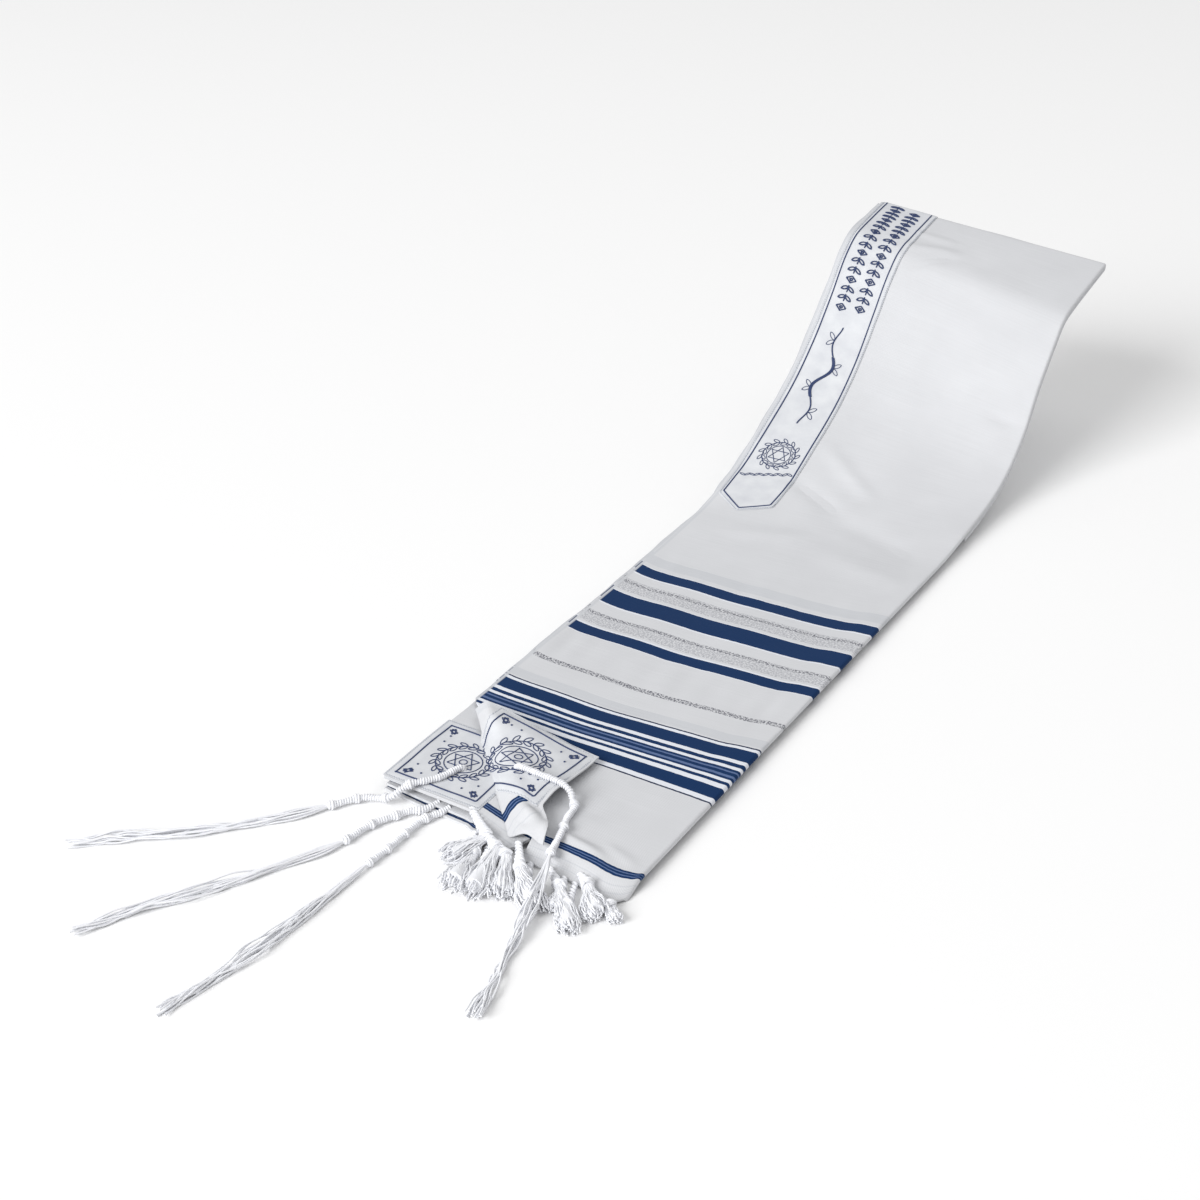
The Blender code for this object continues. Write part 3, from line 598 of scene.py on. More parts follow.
def ripple(across, along):
    """How far the cloth stands out from its even form here."""
    total = np.zeros(np.broadcast(across, along).shape) + pucker(across, along)
    for wave in WAVES:
        total = total + wave.height * np.sin(across * wave.across + along * wave.along + wave.turn)
    for row in CREASES:
        turn = math.radians(row.heading)
        x, y = across - row.across, along - row.along
        lengthwise = x * math.cos(turn) + y * math.sin(turn)
        sideways = y * math.cos(turn) - x * math.sin(turn)
        fade = np.exp(-(lengthwise / (row.length / 2)) ** 4)
        total = total + row.height * fade * np.exp(-(sideways / row.width) ** 2)
    return total


# %% The turned corner's fold, and where the upper layer starts
FOLD_START = np.array([-0.002, 0.136])
FOLD_END = np.array([0.114, 0.008])
FOLD_SLOPE = (FOLD_START[1] - FOLD_END[1]) / (FOLD_END[0] - FOLD_START[0])
FOLD_SINE = 0.74
# How far the upper layer's edge lies inside the fold: less at the selvedge, where the fold is a roll.
UNDER_FOLD_START = 0.004
UNDER_FOLD = 0.020
UPPER_LEFT_LIMIT = 0.138
# The hem droops from the first station on, and is fitted to its own curve from the second.
DROOP_START = 0.004
HEM_FIT_START = 0.030


def hem_droop(along):
    """How far the cloth has sunk towards the table, from 0 over the stack to 1 at the hem."""
    return ease((DROOP_START - along) / (DROOP_START - HEM))


def fold_distance(across, along):
    """Distance from the turned corner's fold, positive towards the corner of the cloth."""
    way = (FOLD_END - FOLD_START) / np.linalg.norm(FOLD_END - FOLD_START)
    x, y = across - FOLD_START[0], along - FOLD_START[1]
    return x * way[1] - y * way[0]


def fold_along(across):
    return FOLD_START[1] - (across - FOLD_START[0]) * FOLD_SLOPE


def upper_left(station):
    """Where the upper layer starts: at the open edges, or inside the turned corner's fold."""
    fold = FOLD_START[0] + (FOLD_START[1] - station) / FOLD_SLOPE
    share = (fold - FOLD_START[0]) / (FOLD_END[0] - FOLD_START[0])
    inside = mix(UNDER_FOLD_START, UNDER_FOLD, ease(share / 0.2))
    return np.clip(fold + inside / FOLD_SINE, 0.0, UPPER_LEFT_LIMIT)


def upper_top(across, along):
    """Height of the upper layer's face above the table, where the stack lies flat."""
    full = thickness(across, along)
    return full - (full - HEM_TOP) * hem_droop(along)


def upper_surface(share, angle, station, turn, lift):
    """Points of the upper layer: share across or angle round the side fold, station or turn along."""
    droop = np.where(turn == 0, hem_droop(station), 0.0)
    radius = mix(thickness(WIDTH, station) / 4, TIGHT_FOLD, droop)
    across = mix(upper_left(station), WIDTH - radius, share)
    # Cloth pulled round a fold is smooth, so the ripples fade out towards both folds.
    calm = (1 - ease(angle / 1.2)) * (1 - ease(turn / 0.8)) * (1 - 0.7 * ease((share - 0.9) / 0.1))
    depth = -lift - ripple(across, station) * calm
    across = across + (radius - depth) * np.sin(angle)
    half = thickness(across, station) / 2
    height = np.where(angle > 0, half - radius + (radius - depth) * np.cos(angle), half - depth)
    base, _, forward, out = stack_frame(across, station)
    way = times(np.cos(turn), out) + times(np.sin(turn), forward)
    points = base + times(half, out) + times(height, way)
    near = np.where(turn == 0, ease((HEM_FIT_START - station) / (HEM_FIT_START - HEM)), 0.0)
    points[..., 1] += (HEM_ALONG(across) - HEM) * near
    points[..., 2] -= np.where(turn == 0, (2 * half - HEM_TOP) * droop, 0.0)
    return points


# %% Build the upper layer
CROSS_FOLD_STEPS = 9
SIDE_FOLD_DEGREES = 145
RIM_WIDTH = 0.003
RIM_SWELL = 0.15
BOW_START = 0.10
BOW_END = 0.45


def over_cross_fold(ahead, back):
    """Stations and turns of a strip that runs ahead, over the cross fold and back under it."""
    bend = half_turn(CROSS_FOLD_STEPS)
    stations = np.concatenate([ahead, np.full(len(bend), CROSS_FOLD), back])
    return stations, np.concatenate([np.zeros(len(ahead)), bend, np.full(len(back), math.pi)])


def run_of_cloth(across, station, turn):
    """The length of cloth up to each point, which goes on over the cross fold and back."""
    half = thickness(across, station) / 2
    run = np.where(turn > 0, CROSS_FOLD + half * turn, station)
    return np.where(turn == math.pi, CROSS_FOLD + half * math.pi + CROSS_FOLD - station, run)


def make_upper_layer():
    flat = 73
    rolled = 11
    shares = np.concatenate([np.linspace(0, 1, flat), np.ones(rolled)])
    angles = np.concatenate([np.zeros(flat), np.radians(np.linspace(13, SIDE_FOLD_DEGREES, rolled))])
    ahead = stretches(HEM, (0.200, 84), (0.430, 76), (CROSS_FOLD, 120))
    stations, turns = over_cross_fold(ahead, np.linspace(CROSS_FOLD, UNDER_END + 0.004, 50))
    station, share = grid(stations, shares)
    turn, angle = grid(turns, angles)
    face = upper_surface(share, angle, station, turn, 0.0)
    rim = np.exp(-((station - HEM) / RIM_WIDTH) ** 2) * (turn == 0)
    rim = rim + np.exp(-((share * WIDTH) / RIM_WIDTH) ** 2)
    back = upper_surface(share, angle, station, turn, -CLOTH * (1 + RIM_SWELL * np.clip(rim, 0, 1)))
    side = mix(upper_left(station), WIDTH, share)
    bowed = (turn == 0) * ease((station - BOW_START) / 0.12) * (1 - ease((station - BOW_END) / 0.08))
    run = run_of_cloth(WIDTH, station, turn) - BOW(side) * bowed
    side = side + angle * thickness(WIDTH, station) / 4
    return add_walls("upper_cloth", [(face, back, np.stack([side, run], -1))], woven_acrylic)


upper_cloth = make_upper_layer()
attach(upper_cloth, "root")
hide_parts("upper_layer")

# %% [markdown]
# ## The layers inside
#
# Three more layers lie under it. They show only at the open edges and at the near end, where they fan
# out a little, each hem set back or pushed out by a few millimetres. The upper one of them is a sheet
# of its own, which turns down round the cross fold. The lower two are one sheet that goes round the
# lengthwise fold. Their stripes are shifted, because no one folds a shawl dead true.

# %% Heights of the inner layers
# Where the corner's two layers are turned away, the rest lie lower by as much. To the right of the
# flat patch they reach out as a narrow apron, pressed thin at its edge.
TURNED_DROP = 2 * CLOTH
CORNER_END = 0.200
APRON_HEIGHT = 0.0035
INNER_NEAR = 0.014
NEAR_FIT_END = 0.070
HEM_SWELL_WIDTH = 0.006


def inner_top(across, station):
    """Height of the inner layers above the stack's underside."""
    full = thickness(across, station) - CLOTH - GAP
    height = full - TURNED_DROP * ease((0.028 + fold_distance(across, station)) / 0.016)
    apron = ease((across - 0.076) / 0.014) * (1 - ease((across - 0.128) / 0.012))
    height = height - (height - APRON_HEIGHT) * apron * ease((INNER_NEAR - station) / 0.026)
    return np.where(station > CORNER_END, full, height)


def near_blend(stations, near):
    """Stations whose first stretch is fitted to a near edge that isn't straight."""
    share = (stations - INNER_NEAR) / (NEAR_FIT_END - INNER_NEAR)
    return np.where(stations < NEAR_FIT_END, mix(near, NEAR_FIT_END, share), stations)


def edge_wave(station, phase, height):
    """How far a selvedge waves in and out, or up and down."""
    return height * (np.sin(station * 61 + phase) + 0.6 * np.sin(station * 143 + 2.1 * phase)) / 1.6


def hem_curl(distance, height):
    """A hem's own curl: it stands a little proud where it is turned in and sewn."""
    return height * np.exp(-(distance / 0.004) ** 2)


def hem_swell(distance, share):
    """How much thicker the cloth is towards its hem, which is turned in there."""
    return 1 + share * np.exp(-(distance / HEM_SWELL_WIDTH) ** 2)


# %% Build the upper one of the inner layers
INNER_THICK = 0.0015
INNER_STRIPES_OUT = 0.0045


def stripes_back(across, station):
    """How far this layer's stripes lie behind its stations, and slant away beside the patch."""
    slanted = 0.284 * np.maximum(across - 0.0824, 0) * ease((0.05 - station) / 0.02)
    return 0.0196 - slanted + 0.020 * ease((station - 0.05) / 0.09) - 0.031 * ease((station - 0.17) / 0.05)


def make_inner_upper():
    shares = np.concatenate([np.linspace(0, 0.5, 45), np.linspace(0.5, 1, 22)[1:]])
    ahead = stretches(INNER_NEAR, (NEAR_FIT_END, 26), (0.200, 46), (0.430, 56), (CROSS_FOLD, 90))
    bend = half_turn(8)
    stations = np.concatenate([ahead, np.full(len(bend), CROSS_FOLD)])
    turn, share = grid(np.concatenate([np.zeros(len(ahead)), bend]), shares)
    station, _ = grid(stations, shares)
    right_edge = WIDTH - thickness(WIDTH, station) / 4 - 0.001
    left_edge = -SELVEDGE_OUT[2](station) + edge_wave(station, 0.7, 0.0006)
    across = mix(left_edge, right_edge, share)
    from_near = station - INNER_NEAR
    station = near_blend(station, NEAR_ALONG(across))
    half = thickness(across, station) / 2
    curl = hem_curl(across - left_edge, 0.0004) + hem_curl(from_near, 0.0006)
    grids = []
    for depth in (0.0, INNER_THICK):
        height = inner_top(across, station) - depth * hem_swell(from_near, 0.5) + curl * (depth == 0)
        height = np.where(turn > 0, half + (half - CLOTH - GAP - depth), height)
        base, _, forward, out = stack_frame(across, station)
        way = times(np.cos(turn), out) + times(np.sin(turn), forward)
        flat = base + times(height, out)
        rolled = base + times(half, out) + times(height - half, way)
        grids.append(np.where((turn > 0)[..., None], rolled, flat))
    uv = np.stack([across + INNER_STRIPES_OUT, station - stripes_back(across, station) + half * turn], -1)
    return add_walls("inner_cloth", [(grids[0], grids[1], uv)], woven_acrylic)


inner_cloth = make_inner_upper()
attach(inner_cloth, "root")
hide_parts("inner_layers")


# %% Build the lower two, round the lengthwise fold
LOWER_ROLL_BACK = 0.0055
# Where the higher one lies between the table and the layer above it.
MIDDLE_SHARE = 0.54
# Beyond the flat patch both hems run straight across, at these stations.
MIDDLE_NEAR = 0.012
LOWER_NEAR = 0.013
# How far the stripes lie behind the stations: in the higher one's and the lower one's first few
# centimetres, and in the rest of both.
MIDDLE_HEM_BACK = 0.0165
LOWER_HEM_BACK = 0.0022
LOWER_STRIPES_BACK = 0.010
# From here to UNDER_END the lower two move up, to make room beneath them for the upper layer's end.
RAISED_START = 0.570
RAISED_ROLL = 0.0011
# Past the first station the lowest layer starts to leave the table, and by the second it lies close
# under the others.
TABLE_END = 0.520
CLOSE_UNDER = 0.565


def table_drop(across, station):
    """How far the lowest layer lies under the stack's underside, to reach the table."""
    base, _, _, out = stack_frame(across, station)
    return base[..., 2] / out[..., 2] * (1 - ease((station - TABLE_END) / (CLOSE_UNDER - TABLE_END)))


def make_lower_layers():
    level = 34
    bend = half_turn(9)
    shares = np.concatenate([np.linspace(0, 1, level), np.ones(len(bend)), np.linspace(1, 0, level)])
    angles = np.concatenate([np.zeros(level), bend, np.full(level, math.pi)])
    stations = stretches(INNER_NEAR, (NEAR_FIT_END, 18), (0.430, 90), (CROSS_FOLD - 0.004, 84))
    station, share = grid(stations, shares)
    _, angle = grid(stations, angles)
    lower = angle > math.pi / 2
    raised = ease((station - RAISED_START) / (UNDER_END - RAISED_START))
    full = thickness(WIDTH, station)
    roll = mix(full / 4 - GAP, RAISED_ROLL, raised)
    centre_up = mix(roll, full / 2, raised)
    centre = mix(WIDTH - roll - LOWER_ROLL_BACK, WIDTH - full / 4, raised)
    out_middle = SELVEDGE_OUT[1](station) + edge_wave(station, 2.4, 0.0012)
    out_lower = SELVEDGE_OUT[0](station) + edge_wave(station, 4.4, 0.0010)
    across = mix(np.where(lower, -out_lower, -out_middle), centre, share)
    by_patch = ease((0.094 - across) / 0.014)
    middle_near = mix(MIDDLE_NEAR, NEAR_ALONG(across) - 0.5 * NEAR_LOWER_OUT(across), by_patch)
    lower_by_patch = ease((0.104 - across) / 0.016)
    lower_near = mix(LOWER_NEAR, NEAR_ALONG(across) - NEAR_LOWER_OUT(across), lower_by_patch)
    near = np.where(lower, lower_near, middle_near)
    from_near = station - INNER_NEAR
    station = near_blend(station, near)
    inside = inner_top(across, station)
    floor = raised * (CLOTH + 2 * GAP)
    middle = mix(mix(floor, inside, MIDDLE_SHARE), centre_up + roll, ease(share))
    bottom = mix(floor + 0.0002, centre_up - roll, ease(share))
    drop = table_drop(across, station)
    middle = middle - (1 - MIDDLE_SHARE) * drop
    bottom = bottom - drop
    lift = ease((0.03 - across) / 0.03) * (1 - raised)
    middle = middle + lift * edge_wave(station, 1.1, 0.0007) + hem_curl(from_near, 0.0005) * by_patch
    thick = CLOTH * hem_swell(from_near, 0.6)
    grids = []
    for through in (0.0, 1.0):
        depth = through * thick * mix(1.0, 0.55, raised * ease(share))
        height = np.where(lower, bottom + depth, middle - depth)
        side = across
        on_roll = (angle > 0) & (angle < math.pi)
        height = np.where(on_roll, centre_up + (roll - depth) * np.cos(angle), height)
        side = np.where(on_roll, centre + (roll - depth) * np.sin(angle), side)
        base, _, _, out = stack_frame(side, station)
        grids.append(base + times(height, out))
    hem_run = np.where(lower, station - near - LOWER_HEM_BACK, station - MIDDLE_HEM_BACK)
    slack = 0.002 * (1 - share)
    far_run = station - LOWER_STRIPES_BACK + np.where(lower, slack, -slack)
    run = mix(hem_run, far_run, ease((station - 0.03) / 0.04))
    side = np.where(lower, 2 * WIDTH - INNER_STRIPES_OUT - across, across + INNER_STRIPES_OUT)
    uv = np.stack([side, run], -1)
    return add_walls("lower_cloth", [(grids[0], grids[1], uv)], woven_acrylic)


lower_cloth = make_lower_layers()
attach(lower_cloth, "root")
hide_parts("inner_layers")

# %% [markdown]
# ## The turned corner
#
# One corner of the upper two layers is turned back over the stack, so its patch shows too. It is
# hardly pressed: it swells like a tube at its far end, rises out of a soft valley along the rest of
# the fold, and is crumpled where it ends. Its points are found by their place in the cloth, measured
# from the selvedge and the hem, then laid where the corner lies now.

# %% Sizes of the turned corner
# The corner's tip, and the ways its hem and its selvedge run now. The ways aren't quite 1 long,
# because loose cloth gives a little on the slant.
TURNED_TIP = np.array([0.139, 0.115])
TURNED_HEM_WAY = np.array([-0.03, -0.99])
TURNED_SELVEDGE_WAY = np.array([-1.04, 0.11])
TURNED_FOLD_START = 0.1317
TURNED_FOLD_SLOPE = 0.986
# The tube's radius, how far the cloth takes to rise from the fold at the tube and in the valley, how
# far the valley has slipped along the fold, and how strongly the near end is crumpled.
TURNED_ROLL = 0.007
TURNED_RAMP = 0.018
VALLEY_RAMP = 0.026
VALLEY_SLIP = 0.0115
CRUMPLE_HEIGHT = 0.0019
# The corner's two layers: how far each is set in from the upper one's edge, its underside and its face.
TURNED_TOP = 0.0026
Layer = namedtuple("Layer", "inset low high")
TURNED_LAYERS = (Layer(0.0, 0.00135, TURNED_TOP), Layer(0.0014, 0.0, 0.00115))

# How high the corner stands over the stack, next to its fold and at its hem.
Rise = namedtuple("Rise", "across fold hem")
RISES = (
    Rise(-0.004, 0.0110, 0.0020),
    Rise(0.030, 0.0120, 0.0040),
    Rise(0.060, 0.0110, 0.0085),
    Rise(0.084, 0.0105, 0.0065),
    Rise(0.100, 0.0085, 0.0050),
    Rise(0.118, 0.0040, 0.0010),
)
FOLD_RISE = table_curve(RISES, "across", "fold")
HEM_RISE = table_curve(RISES, "across", "hem")
SIDE_EDGE = NEAR_EDGES[0].across
HEM_EDGE = NEAR_EDGES[0].along


def turned_fold(across):
    """Where the corner's fold crosses the cloth, measured on the corner."""
    return TURNED_FOLD_START - across * TURNED_FOLD_SLOPE


def in_valley(across):
    """0 where the fold is a tube, 1 along the rest of it, where it is a soft valley."""
    return ease((across - 0.010) / 0.020)


def turned_surface(across, along):
    """Where a point of the turned corner's underside comes to lie, by its place in the cloth."""
    away = np.maximum(turned_fold(across) - along, 0.0)
    reach = turned_fold(across) - NEAR_ALONG(across)
    valley = in_valley(across)
    rolled = along + TURNED_ROLL * mix(1 - np.exp(-away / TURNED_ROLL), 1.0, valley)
    slip = VALLEY_SLIP * (1 - ease(away / 0.036)) * ease((across - 0.030) / 0.040)
    place = TURNED_TIP + times(across + 0.0025 - slip - SIDE_EDGE, TURNED_HEM_WAY)
    place = place + times(rolled + TURNED_FOLD_SLOPE * slip - HEM_EDGE, TURNED_SELVEDGE_WAY)
    face = upper_top(place[..., 0], place[..., 1]) + GAP
    low = inner_top(place[..., 0], place[..., 1]) + 2 * GAP
    start = np.minimum(mix(face, low, ease((across - 0.004) / 0.030)), face)
    creased = 0.6 * np.sin(across * 330 + along * 150) + 0.4 * np.sin(across * 180 - along * 330 + 1.0)
    crumple = CRUMPLE_HEIGHT * ease((across - 0.086) / 0.012) * (1.2 + creased)
    swell = FOLD_RISE(across) * mix(1.0, mix(0.42, 0.85, ease((across - 0.055) / 0.025)), valley)
    high = face + mix(swell, HEM_RISE(across), ease(away / reach)) + crumple
    ramp = mix(TURNED_RAMP, VALLEY_RAMP, valley)
    return np.concatenate([place, mix(start, high, ease(away / ramp))[..., None]], -1)


def turned_point(across, along, lift):
    """A point this far above the turned corner's underside, square to it, and less at the valley."""
    small = 0.0008
    away = np.maximum(turned_fold(across) - along, 0.0)
    lift = lift * mix(1.0, mix(0.12, 1.0, ease(away / 0.012)), in_valley(across))
    one = turned_surface(across + small, along) - turned_surface(across - small, along)
    two = turned_surface(across, along + small) - turned_surface(across, along - small)
    return turned_surface(across, along) + times(lift, -unit(np.cross(one, two)))


def flat_point(across, along, lift):
    """A point this far above the corner beneath it, which still lies flat."""
    return np.stack([across, along, inner_top(across, along) + lift], -1)


# %% Build the turned corner
TURNED_STRIPES_BACK = 0.0208


def make_turned_corner():
    walls = []
    for layer in TURNED_LAYERS:
        share, column = grid(np.linspace(0, 1, 70), np.linspace(0, 1, 76))
        right = mix(0.111, 0.121, ease(share)) - layer.inset
        across = mix(SIDE_EDGE + 0.002 + layer.inset, right, column)
        along = mix(NEAR_ALONG(across) + layer.inset, turned_fold(across), share)
        edge = np.minimum(along - NEAR_ALONG(across), across - SIDE_EDGE)
        waves = 0.0003 * np.sin(across * 190 + 2.2 * np.sin(along * 90)) + hem_curl(edge, 0.0010)
        face = turned_point(across, along, layer.high + waves)
        back = turned_point(across, along, layer.low + waves)
        walls.append((back, face, np.stack([across, along - TURNED_STRIPES_BACK], -1)))
    return add_walls("turned_cloth", walls, woven_acrylic)


turned_cloth = make_turned_corner()
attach(turned_cloth, "root")
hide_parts("turned_corner")

# %% [markdown]
# ## Corner patches and neckband
#
# The corners, where the tassels are tied, are made strong with square patches of satin ribbon, and a
# longer ribbon at the neck shows which way up the shawl is worn. Satin is woven with long floats, so
# it is smoother and shinier than the cloth. Their edges are pulled down by the seam that holds them.

# %% Material: satin ribbon
Tone = namedtuple("Tone", "place chart")
SATIN_TONES = (Tone(0.3, "#CDCFD4"), Tone(0.7, "#DADCDF"))


def make_satin_ribbon():
    material, tree, shader = new_material("satin_ribbon", 0.5, 0.05, 0.35)
    cloth = add(tree, "ShaderNodeUVMap", uv_map="cloth").outputs[0]
    ramp = add(tree, "ShaderNodeValToRGB", {0: noise(tree, cloth, 60.0, 3.0)})
    for stop, tone in zip(ramp.color_ramp.elements, SATIN_TONES):
        stop.position = tone.place
        stop.color = linear(tone.chart)
    tree.links.new(ramp.outputs[0], shader.inputs["Base Color"])
    floats = noise(tree, stretched(tree, cloth, 120.0, 1600.0), 1.0, 1.0)
    give_relief(tree, shader, floats, 0.2, 0.0002)
    return material


satin_ribbon = make_satin_ribbon()
print("material:", satin_ribbon.name)

# %% Build the patches
PATCH_LEFT_SIDE = -0.003
PATCH_RIGHT_SIDE = 0.084
PATCH_NEAR = 0.0145
PATCH_FAR = 0.106
PATCH_RELIEF = 0.0009
PATCH_SEAM = 0.0004
PATCH_SEAT = 0.0001


def flat_patch_end(across):
    """Where the flat patch dives under the turned corner's fold."""
    return np.minimum(PATCH_FAR, fold_along(across) + 0.003)


def turned_patch_end(across):
    """Where the turned corner's patch goes round the fold."""
    return np.minimum(PATCH_FAR, turned_fold(across) - 0.0003)


def patch_lift(across, along):
    """How far a patch's face stands above its cloth: little at the seam, more inside it."""
    edge = np.minimum(np.minimum(across - PATCH_LEFT_SIDE, PATCH_RIGHT_SIDE - across), along - PATCH_NEAR)
    edge = np.minimum(edge, PATCH_FAR - along)
    puff = 0.0003 * np.sin(across * 130 + 1.0) * np.sin(along * 110 + across * 60)
    return mix(PATCH_SEAM, PATCH_RELIEF, ease(edge / 0.004)) + (puff + 0.0002) * ease(edge / 0.008)


def patch_seat(place):
    """How far a patch's back lies above the surface that its cloth is built on."""
    return TURNED_TOP if place is turned_point else PATCH_SEAT


def patch_face(place, across, along, above=0.0):
    """A point of a patch's face, or this far above it."""
    return place(across, along, patch_seat(place) + patch_lift(across, along) + above)


def make_patch(name, place, end, node):
    count = 66
    share, across = grid(np.linspace(0, 1, count), np.linspace(PATCH_LEFT_SIDE, PATCH_RIGHT_SIDE, count))
    along = mix(PATCH_NEAR, end(across), share)
    face = patch_face(place, across, along)
    back = place(across, along, patch_seat(place))
    # On the turned corner the grids run the other way round, so they change places to face outwards.
    if place is turned_point:
        face, back = back, face
    patch = add_walls(name, [(face, back, np.stack([across, along], -1))], satin_ribbon)
    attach(patch, "root")
    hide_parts(node)


make_patch("left_patch", flat_point, flat_patch_end, "patch_left")
make_patch("right_patch", turned_point, turned_patch_end, "patch_right")

# %% Build the neckband
BAND_LEFT = 0.0020
BAND_MIDDLE = 0.0300
BAND_RIGHT = 0.0580
BAND_UNDER_END = 0.680
BAND_SEAT = 0.0002
BAND_SEAM = 0.0003
BAND_RELIEF = 0.0008
BandTip = namedtuple("BandTip", "across along")
BAND_TIP = (
    BandTip(0.0010, 0.5730),
    BandTip(0.0290, 0.5500),
    BandTip(0.0570, 0.5670),
    BandTip(0.0600, 0.5950),
)
BAND_TIP_LENGTH = 0.060


def band_near(across):
    """Where the neckband's blunt point ends, at this distance from the selvedge."""
    return np.interp(across, [tip.across for tip in BAND_TIP], [tip.along for tip in BAND_TIP])


def band_point(across, station, turn, lift):
    """A point this far above the upper layer's face, by its place in the cloth."""
    share = across / (WIDTH - thickness(WIDTH, station) / 4)
    return upper_surface(share, np.zeros_like(share), station, turn, lift)


def make_neckband():
    first = BAND_TIP[1].along
    ahead = stretches(first, (first + BAND_TIP_LENGTH, 30), (CROSS_FOLD, 140))
    stations, turns = over_cross_fold(ahead, np.linspace(CROSS_FOLD, BAND_UNDER_END, 80))
    places = np.linspace(BAND_LEFT, BAND_RIGHT, 33)
    station, across = grid(stations, places)
    turn, _ = grid(turns, places)
    from_tip = (station - first) / BAND_TIP_LENGTH
    fitted = mix(band_near(across), first + BAND_TIP_LENGTH, from_tip)
    pointed = (turn == 0) & (from_tip < 1)
    edge = np.where(pointed, fitted - band_near(across), 1.0)
    station = np.where(pointed, fitted, station)
    edge = np.minimum(edge, np.minimum(across - BAND_LEFT, BAND_RIGHT - across))
    face = band_point(across, station, turn, BAND_SEAT + mix(BAND_SEAM, BAND_RELIEF, ease(edge / 0.003)))
    back = band_point(across, station, turn, BAND_SEAT)
    run = run_of_cloth(BAND_MIDDLE, station, turn)
    return add_walls("neckband_ribbon", [(face, back, np.stack([across, run], -1))], satin_ribbon)


neckband_ribbon = make_neckband()
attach(neckband_ribbon, "root")
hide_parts("neckband")

# %% [markdown]
# ## Threads that follow a path
#
# Cords, tassels and stitches all follow a path, so they are grown from a line by Geometry Nodes. Four
# trees do the work: one winds a thread round a core, one grows a bundle of loose threads along a line,
# one makes the plain body inside a brush, and one, further down, sews a line of embroidery. For the
# first three the line carries, at every point, how thick or how wide the work is there.

# %% Helpers for the trees


def new_tree(name, sockets):
    """A Geometry Nodes tree with named inputs. A socket is its name, its kind and its default."""
    tree = bpy.data.node_groups.new(name, "GeometryNodeTree")
    tree.interface.new_socket(name="Geometry", in_out="INPUT", socket_type="NodeSocketGeometry")
    for label, kind, value in sockets:
        socket = tree.interface.new_socket(name=label, in_out="INPUT", socket_type="NodeSocket" + kind)
        if value is not None:
            socket.default_value = value
    tree.interface.new_socket(name="Geometry", in_out="OUTPUT", socket_type="NodeSocketGeometry")
    return tree, tree.nodes.new("NodeGroupInput").outputs, tree.nodes.new("NodeGroupOutput").inputs


def together(tree, one, two):
    return add(tree, "ShaderNodeVectorMath", {0: one, 1: two}, operation="ADD").outputs[0]


def evenly(tree, path, length):
    """A path's points, set again at this spacing."""
    return add(tree, "GeometryNodeResampleCurve", {0: path, "Length": length}, mode="LENGTH").outputs[0]


def counted(tree, path, count):
    """This many points along a path."""
    return add(tree, "GeometryNodeResampleCurve", {0: path, "Count": count}).outputs[0]


def moved(tree, path, offset):
    return add(tree, "GeometryNodeSetPosition", {0: path, "Offset": offset}).outputs[0]


def beside(tree, angle, reach, flatness=1.0):
    """A step away from a path, at this angle round it. A flatness below 1 presses the round flat."""
    tangent = add(tree, "GeometryNodeInputTangent").outputs[0]
    side = add(tree, "ShaderNodeVectorMath", {0: tangent, 1: (0, 0, 1)}, operation="CROSS_PRODUCT").outputs[0]
    side = add(tree, "ShaderNodeVectorMath", {0: side}, operation="NORMALIZE").outputs[0]
    up = add(tree, "ShaderNodeVectorMath", {0: side, 1: tangent}, operation="CROSS_PRODUCT").outputs[0]
    sideways = maths(tree, "MULTIPLY", reach, maths(tree, "COSINE", angle))
    upward = maths(tree, "MULTIPLY", reach, maths(tree, "SINE", angle))
    upward = maths(tree, "MULTIPLY", upward, flatness)
    return together(tree, scaled(tree, side, sideways), scaled(tree, up, upward))


def finish_tree(tree, geometry, material, output):
    """Every tree ends like this: real faces, smooth, with their material."""
    made = add(tree, "GeometryNodeRealizeInstances", {0: geometry}).outputs[0]
    made = add(tree, "GeometryNodeSetShadeSmooth", {0: made}).outputs[0]
    made = add(tree, "GeometryNodeSetMaterial", {0: made, "Material": material}).outputs[0]
    tree.links.new(made, output[0])


def sweep(tree, path, radius, sides, scale=1.0):
    """A round thread along a path, closed at its ends."""
    size = {"Resolution": sides, "Radius": radius}
    profile = add(tree, "GeometryNodeCurvePrimitiveCircle", size, mode="RADIUS").outputs[0]
    swept = {"Curve": path, "Profile Curve": profile, "Scale": scale, "Fill Caps": True}
    return add(tree, "GeometryNodeCurveToMesh", swept).outputs[0]


# %% Tree: a thread wound round a core
# The thread beds into the core, so its middle lies outside it by only a part of the thread's radius.
THREAD_BEDDED = 0.35
STEPS_A_TURN = 9.0
CORE_STEP = 0.0008


